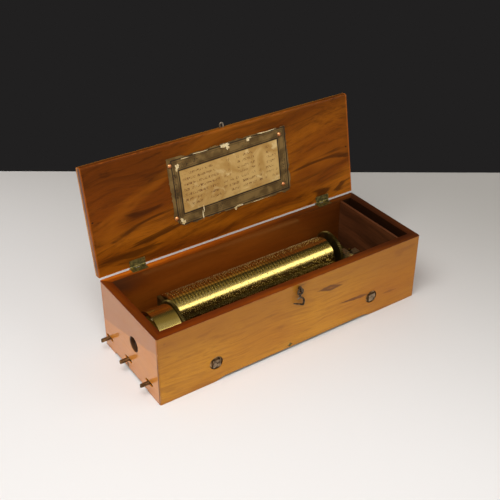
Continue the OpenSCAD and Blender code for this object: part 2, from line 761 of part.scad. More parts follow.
module comb() color(STEEL) difference() {
    translate([0, 0, comb_z0]) linear_extrude(comb_thick)
        polygon(concat([[comb_x0, comb_y0]],
            [for (i = [0 : comb_teeth - 1]) let (a = comb_tooth_x(i), b = a + comb_pitch - comb_slot)
                each i == comb_teeth - 1 ? [[a, comb_root_y(i)], [a, comb_tip_y], [b, comb_tip_y]]
                : i == 0 ? [[a, comb_tip_y], [b, comb_tip_y], [b, comb_root_y(i)]]
                : [[a, comb_root_y(i)], [a, comb_tip_y], [b, comb_tip_y], [b, comb_root_y(i)]]],
            [[comb_x1, comb_y0]]));
    for (i = [0 : comb_screws_n - 1])
        z_rod(comb_screw_r + fit, comb_screw_x(i), comb_screw_y, comb_z0 - over, comb_z1 + 1);
}

// Lead weights that tune the bass teeth, stuck under their tips.
module comb_leads() color(BLUE_STEEL) for (i = [0 : lead_teeth - 1])
    block([comb_tooth_x(i) + lead_side, comb_tip_y - lead_tip - lead_l,
            comb_z0 - lead_h * (1 - lead_taper * i / lead_teeth)],
        [comb_tooth_x(i) + comb_pitch - comb_slot - lead_side, comb_tip_y - lead_tip, comb_z0]);

module comb_base() color(BRASS) difference() {
    block([comb_x0, comb_y0, bed_z1], [comb_x1, comb_y0 + comb_base_w, comb_z0]);
    for (i = [0 : comb_screws_n - 1])
        z_rod(comb_screw_r + fit, comb_screw_x(i), comb_screw_y, bed_z1 - over, comb_z0 + 1);
}

module comb_screws() color(BLUE_STEEL) for (i = [0 : comb_screws_n - 1]) difference() {
    union() {
        z_rod(comb_screw_r, comb_screw_x(i), comb_screw_y, bed_z1 - comb_screw_bite + tip_gap, comb_z1 + 0.1);
        z_rod(comb_head_r, comb_screw_x(i), comb_screw_y, comb_z1, comb_z1 + comb_head_h);
    }
    translate([comb_screw_x(i) - 4, comb_screw_y - 0.35, comb_z1 + comb_head_h - 0.7]) cube([8, 0.7, 2]);
}

// ---------- cylinder ----------

module cylinder_tube() color(BRASS) difference() {
    x_rod(cylinder_r, cyl_x0, cyl_x1, cyl_y, cyl_z);
    x_rod(cylinder_r - tube_wall, cyl_x0 - over, cyl_x1 + over, cyl_y, cyl_z);
}

follow_y = cyl_y + snail_offset;

module cylinder_end_caps() color(BRASS) {
    for (x = [cyl_x0, cyl_x1 - end_cap_t]) difference() {
        x_rod(cylinder_r - tube_wall - press, x, x + end_cap_t, cyl_y, cyl_z);
        x_rod(cyl_arbor_r + fit, x - 1, x + end_cap_t + over, cyl_y, cyl_z);
    }
    // Follower pin that rests on the snail.
    x_rod(snail_pin_r, cyl_x1 - 0.1, snail_x0 - seat, follow_y, cyl_z + follow_r);
}

module cylinder_arbor() color(STEEL)
    x_rod(cyl_arbor_r, wheel_x0 - 1, post_x0 + post_t + 1, cyl_y, cyl_z);

module cylinder_pinion() color(STEEL) difference() {
    toothed(pinion_leaves, barrel_module, PINION, wheel_x0 - pinion_extra, wheel_x1 + pinion_extra,
        cyl_y, cyl_z, 180 - mesh_drop, true);
    x_rod(cyl_arbor_r + press, wheel_x0 - 2, wheel_x1 + 2, cyl_y, cyl_z);
}

module cylinder_great_wheel() color(DARK_BRASS) {
    difference() {
        toothed(cyl_wheel_teeth, train_module, WHEEL, cyl_wheel_x0, cyl_wheel_x1,
            cyl_y, cyl_z, first_angle);
        x_rod(cyl_arbor_r + press, cyl_wheel_x0 - 2, cyl_wheel_x1 + 2, cyl_y, cyl_z);
        x_rod(snail_stud_r + press, cyl_wheel_x0 - 2, cyl_wheel_x1 + 2, follow_y, cyl_z);
    }
}

module snail_stud() color(BLUE_STEEL) {
    x_rod(snail_stud_r, snail_x0 - seat, cyl_wheel_x1 - 0.2, follow_y, cyl_z);
    x_rod(snail_head_r, snail_x0 - seat - snail_head_t, snail_x0 - seat, follow_y, cyl_z);
}

// Stepped snail: one step for each tune, the highest at the follower pin.
module tune_snail() color(STEEL) difference() {
    step = 360 / tunes;
    x_rod(snail_r, snail_x0, snail_x1, follow_y, cyl_z);
    for (i = [1 : tunes - 1]) let (a = 90 + (i - 0.5) * step)
        yz_plate(snail_x0 - 1, snail_x0 + i * snail_step, follow_y, cyl_z)
            polygon([[0, 0], each [for (part = [0 : 0.5 : 1]) polar(3 * snail_r, a + part * step)]]);
    x_rod(snail_stud_r + fit, snail_x0 - over, snail_x1 + over, follow_y, cyl_z);
}

// ---------- bearings ----------

plate_screw_spots = [
    for (s = [-1, 1]) [plate_x0 - flange_w / 2, wind_y + s * barrel_plate_half * 0.64],
    [(bearing_x0 + bearing_x1) / 2, wind_y - bearing_boss_r * 0.64], [(bearing_x0 + bearing_x1) / 2, cyl_y],
    for (s = [-1, 1]) [post_x0 + post_t / 2, cyl_y + s * post_half * 0.62],
    [gov_screw_x, gov_y0 + 1.6 * foot_screw_head], [gov_screw_x, gov_y1 - 1.3 * foot_screw_head]];

module foot_screw_cuts() for (p = plate_screw_spots)
    z_rod(foot_screw_r + fit, p[0], p[1], bed_z1 - over, bed_z1 + foot_screw_bite + 0.2);

module plate_screws() color(BLUE_STEEL) for (p = plate_screw_spots) {
    z_rod(foot_screw_r, p[0], p[1], bed_z0 - 0.1, bed_z1 + foot_screw_bite);
    z_rod(foot_screw_head, p[0], p[1], bed_z0 - 1.4, bed_z0);
}

module left_bearing_plate() color(DARK_BRASS) difference() {
    union() {
        block([bearing_x0, wind_y - bearing_boss_r, bed_z1], [bearing_x1, wind_y + bearing_boss_r, wind_z]);
        x_rod(bearing_boss_r, bearing_x0, bearing_x1, wind_y, wind_z);
        block([bearing_x0, wind_y, bed_z1], [bearing_x1, cyl_y, bed_z1 + bearing_web]);
        block([bearing_x0, cyl_y - bearing_half, bed_z1],
            [bearing_x1, cyl_y + bearing_half, cyl_z + bearing_rise]);
    }
    x_rod(wind_arbor_r + fit, bearing_x0 - over, bearing_x1 + over, wind_y, wind_z);
    x_rod(cyl_arbor_r + fit, bearing_x0 - over, bearing_x1 + over, cyl_y, cyl_z);
    foot_screw_cuts();
}

module right_bearing_post() color(DARK_BRASS) difference() {
    union() {
        block([post_x0, cyl_y - post_half, bed_z1], [post_x0 + post_t, cyl_y + post_half, cyl_z]);
        x_rod(post_half, post_x0, post_x0 + post_t, cyl_y, cyl_z);
    }
    x_rod(cyl_arbor_r + fit, post_x0 - over, post_x0 + post_t + over, cyl_y, cyl_z);
    foot_screw_cuts();
}

// ---------- barrel ----------

module barrel_drum() color(BRASS) difference() {
    union() {
        x_rod(drum_r, drum_x0, drum_x1, wind_y, wind_z);
        x_rod(hub_r, drum_x1, wheel_x0, wind_y, wind_z);
    }
    x_rod(drum_r - drum_wall, drum_x0 - over, drum_x1 - cap_t, wind_y, wind_z);
    x_rod(wind_arbor_r + fit, drum_x0 - over, wheel_x1 + over, wind_y, wind_z);
}

module barrel_cap() color(BRASS) difference() {
    x_rod(drum_r - drum_wall - press, drum_x0, drum_x0 + cap_t, wind_y, wind_z);
    x_rod(wind_arbor_r + fit, drum_x0 - over, drum_x0 + cap_t + over, wind_y, wind_z);
}

module barrel_great_wheel() color(BRASS) difference() {
    toothed(barrel_teeth, barrel_module, WHEEL, wheel_x0, wheel_x1, wind_y, wind_z, -mesh_drop);
    x_rod(wind_arbor_r + fit, wheel_x0 - over, wheel_x1 + over, wind_y, wind_z);
}

function spiral(r0, r1, turns, n) = [for (i = [0 : n]) polar(r0 + (r1 - r0) * i / n, 360 * turns * i / n)];

module mainspring() color(BLUE_STEEL) {
    inner = wind_arbor_r + 3;
    outer = drum_r - drum_wall - spring_t - 0.1;
    n = spring_turns * 16;
    back = spiral(inner + spring_t, outer + spring_t, spring_turns, n);
    yz_plate(drum_x0 + cap_t + 0.8, drum_x1 - cap_t - 0.8, wind_y, wind_z)
        polygon(concat(spiral(inner, outer, spring_turns, n), [for (i = [n : -1 : 0]) back[i]]));
}

module winding_arbor() color(STEEL) {
    x_rod(wind_arbor_r, ratchet_x0 - 0.1, bearing_x1 + 1, wind_y, wind_z);
    translate([square_x0, wind_y - square_side / 2, wind_z - square_side / 2])
        cube([square_l, square_side, square_side]);
}

module ratchet_wheel() color(STEEL) difference() {
    yz_plate(ratchet_x0, ratchet_x0 + ratchet_t, wind_y, wind_z)
        polygon([for (i = [0 : ratchet_teeth - 1]) let (a = 90 + i * 360 / ratchet_teeth)
            each [polar(ratchet_in_r, a), polar(ratchet_r, a + 0.5)]]);
    x_rod(wind_arbor_r + press, ratchet_x0 - over, ratchet_x0 + ratchet_t + over, wind_y, wind_z);
}

// Click: its nose drops into the ratchet's teeth at the top of the wheel.
click_side = 10.5;
click_rise = 14;
click_y = wind_y + click_side;
click_z = wind_z + click_rise;
click_r = 2.4;
click_pin_r = 1.4;
click_nose = 1.92;
click_bite = 0.38;
click_tip_y0 = 0.2;
click_tip_y1 = 1.1;
click_head_t = 1;
spring_foot_h = 0.8;
spring_foot = [-9, -6];
spring_blade = 0.4;
spring_top = click_rise - 0.6;

module ratchet_click() color(STEEL) difference() {
    union() {
        x_rod(click_r, ratchet_x0, ratchet_x0 + ratchet_t, click_y, click_z);
        yz_plate(ratchet_x0, ratchet_x0 + ratchet_t, wind_y, wind_z)
            polygon([[click_tip_y0, ratchet_in_r + click_bite],
                [click_side + click_r / 4, click_rise - click_r * 0.97],
                [click_side - click_r / 4, click_rise + click_r * 0.97],
                [click_tip_y1, ratchet_in_r + click_bite + click_nose]]);
    }
    x_rod(click_pin_r + fit, ratchet_x0 - over, ratchet_x0 + ratchet_t + over, click_y, click_z);
}

module click_screw() color(BLUE_STEEL) {
    x_rod(click_pin_r, ratchet_x0 - 0.5, plate_x0 + plate_t - 0.5, click_y, click_z);
    x_rod(click_r, ratchet_x0 - seat - click_head_t, ratchet_x0 - seat, click_y, click_z);
}

module click_spring() color(BLUE_STEEL) yz_plate(ratchet_x0 + 0.2, plate_x0, wind_y, wind_z)
    polygon([[spring_foot[0], ratchet_r + seat], [spring_foot[1], ratchet_r + seat],
        [spring_foot[1], spring_top - spring_foot_h], [click_r, click_rise - spring_blade],
        [click_r, click_rise], [spring_foot[1], spring_top], [spring_foot[0], spring_top]]);

module barrel_left_plate() color(DARK_BRASS) difference() {
    union() {
        block([plate_x0, wind_y - barrel_plate_half, bed_z1],
            [plate_x0 + plate_t, wind_y + barrel_plate_half, wind_z + barrel_plate_rise]);
        block([plate_x0 - flange_w, wind_y - barrel_plate_half, bed_z1],
            [plate_x0 + plate_t, wind_y + barrel_plate_half, bed_z1 + flange_h]);
    }
    x_rod(wind_arbor_r + fit, plate_x0 - over, plate_x0 + plate_t + over, wind_y, wind_z);
    x_rod(click_pin_r + fit, plate_x0 - over, plate_x0 + plate_t + over, click_y, click_z);
    foot_screw_cuts();
}

// ---------- governor ----------

module governor_cock() color(DARK_BRASS) difference() {
    block([gov_x0, gov_y0, bed_z1], [gov_x1, gov_y1, gov_top]);
    // The first wheel turns in a chamber open to front and back.
    block([gov_x0 + gov_plate_t, gov_y0 - over, bed_z1 + gov_sill],
        [gov_x1 - gov_right_t, gov_y1 + over, gov_top - gov_top_t]);
    block([gov_x0 + gov_plate_t, first_y - gov_pit, bed_z1 + gov_floor],
        [gov_x1 - gov_right_t, first_y + gov_pit, bed_z1 + gov_sill + over]);
    x_rod(gov_arbor_r + fit, gov_x0 - over, gov_x1 + over, first_y, first_z);
    x_rod(gov_arbor_r + fit, gov_x0 - over, gov_x1 + over, second_y, second_z);
    z_rod(bridge_screw_r + fit, gov_screw_x, gov_screw_y, gov_top - bridge_screw_l, gov_top + over);
    foot_screw_cuts();
}

module governor_first_arbor() color(STEEL) {
    x_rod(gov_arbor_r, cyl_wheel_x0 - 0.5, gov_x1 - 0.2, first_y, first_z);
    toothed(first_leaves, train_module, PINION, cyl_wheel_x0 - seat, gov_x0 - seat,
        first_y, first_z, first_angle - 180, true);
}

module governor_first_wheel() color(BRASS) difference() {
    toothed(gov_teeth, gov_module, WHEEL, gov_wheel_x0, gov_wheel_x0 + gov_wheel_t,
        first_y, first_z, second_angle);
    x_rod(gov_arbor_r + press, gov_x0, gov_x1, first_y, first_z);
}

module governor_second_arbor() color(STEEL) {
    x_rod(gov_arbor_r, gov_x0 + 0.2, worm_x + worm_wheel_t / 2 + 0.5, second_y, second_z);
    toothed(second_leaves, gov_module, PINION, gov_wheel_x0 - 0.2, gov_wheel_x0 + gov_wheel_t + 0.2,
        second_y, second_z, 180 + second_angle, true);
}

module governor_worm_wheel() color(BRASS) difference() {
    union() {
        toothed(worm_teeth, worm_module, WORM_WHEEL, worm_x - worm_wheel_t / 2, worm_x + worm_wheel_t / 2,
            second_y, second_z, 180);
        x_rod(worm_hub_r, worm_x - worm_wheel_t / 2 - worm_hub_l, worm_x + worm_wheel_t / 2,
            second_y, second_z);
    }
    x_rod(gov_arbor_r + press, worm_x - 5, worm_x + 5, second_y, second_z);
}

// Section of a one-start thread: thick over a third of the turn.
worm_section = [for (a = [0 : 30 : 330]) let (d = abs((a + 180) % 360 - 180))
    polar(d < 31 ? worm_tip_r : d < 61 ? (worm_tip_r + worm_core_r) / 2 : worm_core_r, a)];

// The thread's gap faces the worm wheel's tooth, on the +Y side, at the wheel's height.
module endless_screw() color(STEEL) {
    turns = (worm_thread_z1 - worm_thread_z0) / worm_lead;
    start = 90 + 180 - 360 * (second_z - worm_thread_z0) / worm_lead;
    translate([worm_x, worm_y, worm_thread_z0]) rotate([0, 0, start])
        linear_extrude(worm_thread_z1 - worm_thread_z0, twist = -360 * turns,
            slices = ceil(turns * 10), $fn = 12) polygon(worm_section);
    z_rod(pivot_r, worm_x, worm_y, worm_z0 - 0.6, worm_thread_z0 + 0.5);
    z_rod(pivot_r, worm_x, worm_y, worm_thread_z1 - 0.5, gov_top + bridge_pivot_l - tip_gap);
}

module fly_vanes() color(BRASS) difference() {
    union() {
        z_rod(fly_hub_r, worm_x, worm_y, fly_z0, fly_z1);
        block([worm_x - fly_r, worm_y - vane_t / 2, fly_z0],
            [worm_x + fly_r, worm_y + vane_t / 2, fly_z1]);
    }
    z_rod(pivot_r + press, worm_x, worm_y, fly_z0 - over, fly_z1 + over);
}

// Bridge that carries the worm's top pivot, with a foot block for the lower one.
module worm_bridge() color(BRASS) {
    difference() {
        union() {
            block([gov_x1 - 4, bridge_y0, gov_top],
                [worm_x + bridge_nose, bridge_y0 + bridge_w, gov_top + bridge_t]);
            block([worm_x - bridge_nose, bridge_y0, gov_top],
                [worm_x + bridge_nose, worm_y + bridge_nose, gov_top + bridge_t]);
        }
        z_rod(pivot_r + fit, worm_x, worm_y, gov_top - over, gov_top + bridge_pivot_l);
        z_rod(bridge_screw_r + fit, gov_screw_x, gov_screw_y, gov_top - over, gov_top + bridge_t + over);
    }
    difference() {
        z_rod(bridge_nose, worm_x, worm_y, bed_z1, bed_z1 + bridge_foot_h);
        z_rod(pivot_r + fit, worm_x, worm_y, worm_z0 - 0.7, bed_z1 + bridge_foot_h + over);
    }
}

module bridge_screw() color(BLUE_STEEL) {
    z_rod(bridge_screw_r, gov_screw_x, gov_screw_y,
        gov_top - bridge_screw_l + 2.5 * tip_gap, gov_top + bridge_t + 0.1);
    z_rod(bridge_head_r, gov_screw_x, gov_screw_y, gov_top + bridge_t, gov_top + bridge_t + bridge_head_h);
}

// ---------- levers ----------

// A flat lever on its stud, cranked within the wall where its pivot isn't level with its slot.
module lever(y) color(BLUE_STEEL) translate([0, 0, lever_z0]) difference() {
    py = lever_pivot_y(y);
    w = lever_width / 2;
    tip = -half_l - lever_reach + w;
    crank = [[tip, y], [-half_l + 3, y], [in_x0 - 1, py], [lever_pivot_x + lever_tail, py]];
    union() {
        linear_extrude(lever_h)
            polygon(concat([for (p = crank) p - [0, w]], [for (i = [3 : -1 : 0]) crank[i] + [0, w]]));
        translate([tip, y, 0]) cylinder(r = w, h = lever_h);
        translate([lever_pivot_x, py, 0]) cylinder(r = lever_hub_r, h = lever_h);
    }
    translate([lever_pivot_x, py, -1]) cylinder(r = stud_r + fit, h = lever_h + 2);
}

module instant_stop_lever() lever(lever_ys[0]);
module change_lever() lever(lever_ys[1]);
module stop_lever() lever(lever_ys[2]);

module lever_studs() color(STEEL) for (y = [for (slot = lever_ys) lever_pivot_y(slot)]) {
    z_rod(stud_r, lever_pivot_x, y, floor_z, lever_z1 + stud_gap + 0.1);
    z_rod(stud_head_r, lever_pivot_x, y, floor_z, lever_z0 - stud_gap);
    z_rod(stud_head_r, lever_pivot_x, y, lever_z1 + stud_gap, lever_z1 + stud_gap + stud_head_h);
}

front_board();
back_board();
left_end_board();
right_end_board();
bottom_board();
bottom_screws();
key_partition();
lid_board();
hinge_case_leaves();
hinge_lid_leaves();
hinge_pins();
hinge_case_screws();
hinge_lid_screws();
tune_sheet();
tune_sheet_tacks();
lid_staple();
hook_screw_eye();
catch_hook();
bedplate();
bedplate_bolts();
bolt_washers();
comb();
comb_leads();
comb_base();
comb_screws();
cylinder_tube();
cylinder_end_caps();
cylinder_arbor();
cylinder_pinion();
cylinder_great_wheel();
tune_snail();
snail_stud();
left_bearing_plate();
right_bearing_post();
barrel_drum();
barrel_cap();
barrel_great_wheel();
mainspring();
winding_arbor();
ratchet_wheel();
ratchet_click();
click_screw();
click_spring();
barrel_left_plate();
plate_screws();
governor_cock();
governor_first_arbor();
governor_first_wheel();
governor_second_arbor();
governor_worm_wheel();
endless_screw();
fly_vanes();
worm_bridge();
bridge_screw();
stop_lever();
change_lever();
instant_stop_lever();
lever_studs();
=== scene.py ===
# %% [markdown]
# # A key-wound cylinder musical box
# The object is a long fruitwood box with its lid open. Inside lie a pinned brass cylinder, a spring barrel
# and a small air-brake governor; a torn paper tune sheet is tacked inside the lid. The solids come in as a
# fixed frame: nothing here moves or resizes them. This file gives them their finish, and adds what is too
# small or too numerous for solids, such as the cylinder's pins and the torn edge of the paper.

# %% Load the frame
import json
import math
import random

import bmesh
import bpy
from mathutils import Matrix, Vector, noise


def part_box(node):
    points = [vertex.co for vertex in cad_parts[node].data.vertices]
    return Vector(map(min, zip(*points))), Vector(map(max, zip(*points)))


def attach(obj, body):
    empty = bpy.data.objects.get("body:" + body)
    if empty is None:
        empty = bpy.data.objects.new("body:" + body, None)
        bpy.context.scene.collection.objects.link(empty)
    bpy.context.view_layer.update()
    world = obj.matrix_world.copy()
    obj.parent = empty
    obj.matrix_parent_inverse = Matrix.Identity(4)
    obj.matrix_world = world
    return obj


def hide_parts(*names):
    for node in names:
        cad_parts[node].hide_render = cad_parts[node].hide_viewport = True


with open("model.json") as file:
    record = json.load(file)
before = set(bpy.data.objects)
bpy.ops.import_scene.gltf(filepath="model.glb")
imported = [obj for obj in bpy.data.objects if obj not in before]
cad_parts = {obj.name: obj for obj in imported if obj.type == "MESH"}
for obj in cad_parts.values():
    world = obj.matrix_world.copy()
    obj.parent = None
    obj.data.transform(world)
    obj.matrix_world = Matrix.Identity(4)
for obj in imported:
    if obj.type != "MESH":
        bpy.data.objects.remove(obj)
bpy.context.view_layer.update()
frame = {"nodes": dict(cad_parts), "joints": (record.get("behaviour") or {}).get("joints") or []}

MM = 0.001

# %% [markdown]
# ## Camera
# A long lens from the front left and well above shows the front, the left end, and the movement down inside.
# It is placed by two angles, a distance and a small roll, which are easier to reason about than a matrix.

# %% Camera
LENS_MM = 63.51
VIEW_AZIMUTH = math.radians(-34.234)
VIEW_ELEVATION = math.radians(32.711)
VIEW_ROLL = math.radians(0.1715)
VIEW_TARGET = Vector((-1.5, 30.9, 81.6)) * MM
VIEW_DISTANCE = 1039.8 * MM

back = Vector((math.sin(VIEW_AZIMUTH) * math.cos(VIEW_ELEVATION),
               -math.cos(VIEW_AZIMUTH) * math.cos(VIEW_ELEVATION), math.sin(VIEW_ELEVATION)))
right = Vector((0, 0, 1)).cross(back).normalized()
up = back.cross(right)
turned_right = right * math.cos(VIEW_ROLL) + up * math.sin(VIEW_ROLL)
turned_up = up * math.cos(VIEW_ROLL) - right * math.sin(VIEW_ROLL)
camera = bpy.data.objects.new("camera", bpy.data.cameras.new("camera"))
camera.data.lens = LENS_MM
camera.data.clip_start = 0.01
axes = Matrix((turned_right, turned_up, back)).transposed().to_4x4()
camera.matrix_world = Matrix.Translation(VIEW_TARGET + back * VIEW_DISTANCE) @ axes
bpy.context.scene.collection.objects.link(camera)
bpy.context.scene.camera = camera
bpy.context.scene.view_settings.view_transform = "Standard"
print("camera at", [round(c, 4) for c in camera.matrix_world.translation])

# %% [markdown]
# ## Wiring helpers
# Every finish below is a node tree. These helpers make a node and fill or link its sockets in one line, so
# that a material reads as a list of its layers. Colours are written as screen values, which are easy to
# compare by eye, and turned into the linear values that the shader works in.

# %% Colours and nodes
def colour(red, green, blue):
    """A screen colour, 0 to 255 a channel, as a linear RGBA value."""
    def linear(value):
        value /= 255
        return value / 12.92 if value <= 0.04045 else ((value + 0.055) / 1.055) ** 2.4
    return (linear(red), linear(green), linear(blue), 1.0)


def node(tree, kind, sockets=None, **settings):
    """A new node: settings are its properties, sockets its inputs by name, as values or as sockets."""
    made = tree.nodes.new(kind)
    for key, value in settings.items():
        setattr(made, key, value)
    for key, value in (sockets or {}).items():
        if isinstance(value, bpy.types.NodeSocket):
            tree.links.new(value, made.inputs[key])
        else:
            made.inputs[key].default_value = value
    return made


def shades(*screen_colours):
    return [colour(*screen_colour) for screen_colour in screen_colours]


print("white is", colour(255, 255, 255)[:3])

# %% [markdown]
# A layer of a finish is a mask and a colour. A mask is a sum with a smooth step at its end.

# %% Sums and masks
def maths(tree, operation, first, second=0.0, third=0.0):
    return node(tree, "ShaderNodeMath", {0: first, 1: second, 2: third}, operation=operation).outputs[0]


def times(tree, first, second):
    return maths(tree, "MULTIPLY", first, second)


def minus(tree, first, second):
    return maths(tree, "SUBTRACT", first, second)


def ramp(tree, value, slope, start):
    """value times slope, plus start."""
    return maths(tree, "MULTIPLY_ADD", value, slope, start)


def split(tree, vector):
    """The x, y and z of a vector, as three sockets."""
    made = node(tree, "ShaderNodeSeparateXYZ", {0: vector})
    return made.outputs[0], made.outputs[1], made.outputs[2]


def fade(tree, value, low, high):
    """0 at low and 1 at high, or the other way round, with a smooth run between."""
    sockets = {"Value": value, "From Min": min(low, high), "From Max": max(low, high),
               "To Min": float(low > high), "To Max": float(low < high)}
    return node(tree, "ShaderNodeMapRange", sockets, interpolation_type="SMOOTHSTEP").outputs[0]


def mix(tree, mask, under, over):
    """The colour over laid on the colour under where mask is 1."""
    return node(tree, "ShaderNodeMix", {0: mask, 6: under, 7: over}, data_type="RGBA").outputs[2]


print("masks ready")

# %% [markdown]
# ## Floor, backdrop and light
# The box stands on a pale sheet in front of a dark wall, under a big soft lamp. The wall shows from its front
# only, and only to the eye and to reflections, so it blocks no lamp and the box can be seen from behind too.
# Its colour is its own, not light on the object.

# %% Floor and backdrop
STUDIO_SIZE = 12.0
WALL_BEHIND = 0.353


def studio_plane(name, matrix):
    """A square as wide as the studio, laid by a matrix."""
    shape = bmesh.new()
    bmesh.ops.create_grid(shape, x_segments=1, y_segments=1, size=STUDIO_SIZE / 2)
    bmesh.ops.transform(shape, verts=shape.verts, matrix=matrix)
    made = bpy.data.objects.new(name, bpy.data.meshes.new(name))
    shape.to_mesh(made.data)
    shape.free()
    bpy.context.scene.collection.objects.link(made)
    return made


look = Vector((-back.x, -back.y, 0)).normalized()
wall_place = Vector((VIEW_TARGET.x, VIEW_TARGET.y, STUDIO_SIZE / 2)) + look * WALL_BEHIND
wall_turn = look.to_track_quat("-Z", "Y").to_matrix().to_4x4()
floor = studio_plane("floor", Matrix.Identity(4))
wall = studio_plane("backdrop", Matrix.Translation(wall_place) @ wall_turn)
print("wall stands", WALL_BEHIND, "m behind the middle of the box")

# %% [markdown]
# The floor is pale paper, rubbed matt, with painted shade that makes it a little darker towards the back,
# where less light falls.

# %% Floor finish
FLOOR_COLOUR = colour(232, 229, 227)
FLOOR_PAINTED_SHADE = colour(182, 178, 172)
FLOOR_SKEW = 0.55
FLOOR_SHADE_RUN = (-0.2, 0.52)
FLOOR_ROUGHNESS = 0.55


def surface(tree, output, sockets):
    """Puts the principled shader with these sockets on a material's output."""
    shader = node(tree, "ShaderNodeBsdfPrincipled", sockets)
    tree.links.new(shader.outputs[0], output.inputs[0])


def bare_material(name):
    """A material with an empty tree, and its output node."""
    made = bpy.data.materials.new(name)
    made.use_nodes = True
    made.node_tree.nodes.clear()
    return made, made.node_tree, made.node_tree.nodes.new("ShaderNodeOutputMaterial")


def here(tree):
    """The place of a point on the piece, in metres."""
    return node(tree, "ShaderNodeTexCoord").outputs["Object"]


paper_floor, tree, output = bare_material("pale_floor")
aside, depth, _ = split(tree, here(tree))
far = ramp(tree, depth, FLOOR_SKEW, aside)
# painted shade: the floor darkens towards the back and the right
shaded = mix(tree, fade(tree, far, *FLOOR_SHADE_RUN), FLOOR_COLOUR, FLOOR_PAINTED_SHADE)
surface(tree, output, {"Base Color": shaded, "Roughness": FLOOR_ROUGHNESS})
floor.data.materials.append(paper_floor)
print("floor finish", paper_floor.name)

# %% [markdown]
# The eye sees only the foot of the wall, which is nearly black. Higher up, where only reflections reach, it
# turns the olive brown of a furnished room: polished metal looks like what it mirrors, and brass in a black
# room would look black.

# %% Backdrop finish
WALL_COLOUR = colour(33, 32, 32)
ROOM_COLOUR = colour(120, 112, 86)
ROOM_HEIGHTS = (0.4, 1.6)
dark_wall, tree, output = bare_material("dark_backdrop")
rays = node(tree, "ShaderNodeLightPath")
seen = maths(tree, "MAXIMUM", rays.outputs["Is Camera Ray"], rays.outputs["Is Glossy Ray"])
seen = maths(tree, "MAXIMUM", seen, rays.outputs["Is Transmission Ray"])
facing = minus(tree, 1.0, node(tree, "ShaderNodeNewGeometry").outputs["Backfacing"])
clear = node(tree, "ShaderNodeBsdfTransparent")
_, _, height = split(tree, here(tree))
lit = mix(tree, fade(tree, height, *ROOM_HEIGHTS), WALL_COLOUR, ROOM_COLOUR)
dark = node(tree, "ShaderNodeEmission", {"Color": lit, "Strength": 1.0})
shown = times(tree, seen, facing)
both = node(tree, "ShaderNodeMixShader", {0: shown, 1: clear.outputs[0], 2: dark.outputs[0]})
tree.links.new(both.outputs[0], output.inputs[0])
wall.data.materials.append(dark_wall)
print("wall finish", dark_wall.name)

# %% [markdown]
# A big soft lamp hangs over the front left, and a weaker one lifts the right of the front. The sky is a pale
# dome, brightest at the horizon: it fills the shadows and gives the varnish something pale to mirror.

# %% Lamps and sky
# Each: its place, what it points at, its width and height in metres, its power in watts.
LAMPS = {"key_lamp": ((-0.55, -0.35, 1.25), (0, 0, 0.05), (0.9, 0.6), 15.0),
         "front_lamp": ((0.72, -0.86, 0.98), (0, 0, 0.08), (0.9, 0.42), 3.0)}
SKY_COLOUR = colour(243, 240, 236)
SKY_LOW = 1.0
SKY_HIGH = 0.34
SKY_FADED_AT = 0.65

for name, (place, aim, size, energy) in LAMPS.items():
    lamp = bpy.data.objects.new(name, bpy.data.lights.new(name, "AREA"))
    lamp.data.shape = "RECTANGLE"
    lamp.data.size, lamp.data.size_y = size
    lamp.data.energy = energy
    turn = (Vector(aim) - Vector(place)).to_track_quat("-Z", "Y").to_matrix().to_4x4()
    lamp.matrix_world = Matrix.Translation(place) @ turn
    bpy.context.scene.collection.objects.link(lamp)

world = bpy.data.worlds.new("studio")
bpy.context.scene.world = world
world.use_nodes = True
sky = world.node_tree
_, _, height = split(sky, node(sky, "ShaderNodeTexCoord").outputs["Generated"])
strength = node(sky, "ShaderNodeMapRange", {0: height, 1: 0.0, 2: SKY_FADED_AT, 3: SKY_LOW, 4: SKY_HIGH},
                interpolation_type="SMOOTHSTEP").outputs[0]
sky.nodes["Background"].inputs["Color"].default_value = SKY_COLOUR
sky.links.new(strength, sky.nodes["Background"].inputs["Strength"])
print("lamps", list(LAMPS))

# %% [markdown]
# ## Shared effects
# Four effects turn up in nearly every finish: the figure of wood, the distance to a board's edges, where wear
# and dirt gather, a knot or crack at a given place, and the patina of old metal. Each is a node group, so it
# is built once and each material gives it its own numbers. A group gives out masks only: the shaders stay
# in the materials.

# %% Group helper
def effect(name, inputs, outputs):
    """A new node group. inputs are names with a value, or None for a vector; outputs are names of masks."""
    tree = bpy.data.node_groups.new(name, "ShaderNodeTree")
    for title, value in inputs.items():
        kind = "NodeSocketVector" if value is None else "NodeSocketFloat"
        socket = tree.interface.new_socket(title, in_out="INPUT", socket_type=kind)
        if value is not None:
            socket.default_value = value
    for title in outputs:
        tree.interface.new_socket(title, in_out="OUTPUT", socket_type="NodeSocketFloat")
    return tree, tree.nodes.new("NodeGroupInput").outputs, tree.nodes.new("NodeGroupOutput").inputs


def use(tree, group, **sockets):
    """Places a group in a tree; underscores in a socket's name stand for spaces."""
    made = tree.nodes.new("ShaderNodeGroup")
    made.node_tree = group
    for key, value in sockets.items():
        socket = made.inputs[key.replace("_", " ")]
        if isinstance(value, bpy.types.NodeSocket):
            tree.links.new(value, socket)
        else:
            socket.default_value = value
    return made.outputs


print("groups ready")

# %% [markdown]
# Wood is a bundle of long fibres, so every pattern in it is noise that is stretched along the grain. Broad
# streaks come from the year rings, fine lines from the fibres and short dark dashes from the pores. The
# streaks are bent by a slow noise first, since no board is cut dead along the trunk.

# %% Wood figure group
def vectors(tree, operation, first, second=(0, 0, 0)):
    return node(tree, "ShaderNodeVectorMath", {0: first, 1: second}, operation=operation).outputs[0]


def mottle(tree, vector, scale, detail=3.0, warp=0.0):
    """Cloudy noise from 0 to 1."""
    sockets = {"Vector": vector, "Scale": scale, "Detail": detail, "Distortion": warp}
    return node(tree, "ShaderNodeTexNoise", sockets).outputs["Fac"]


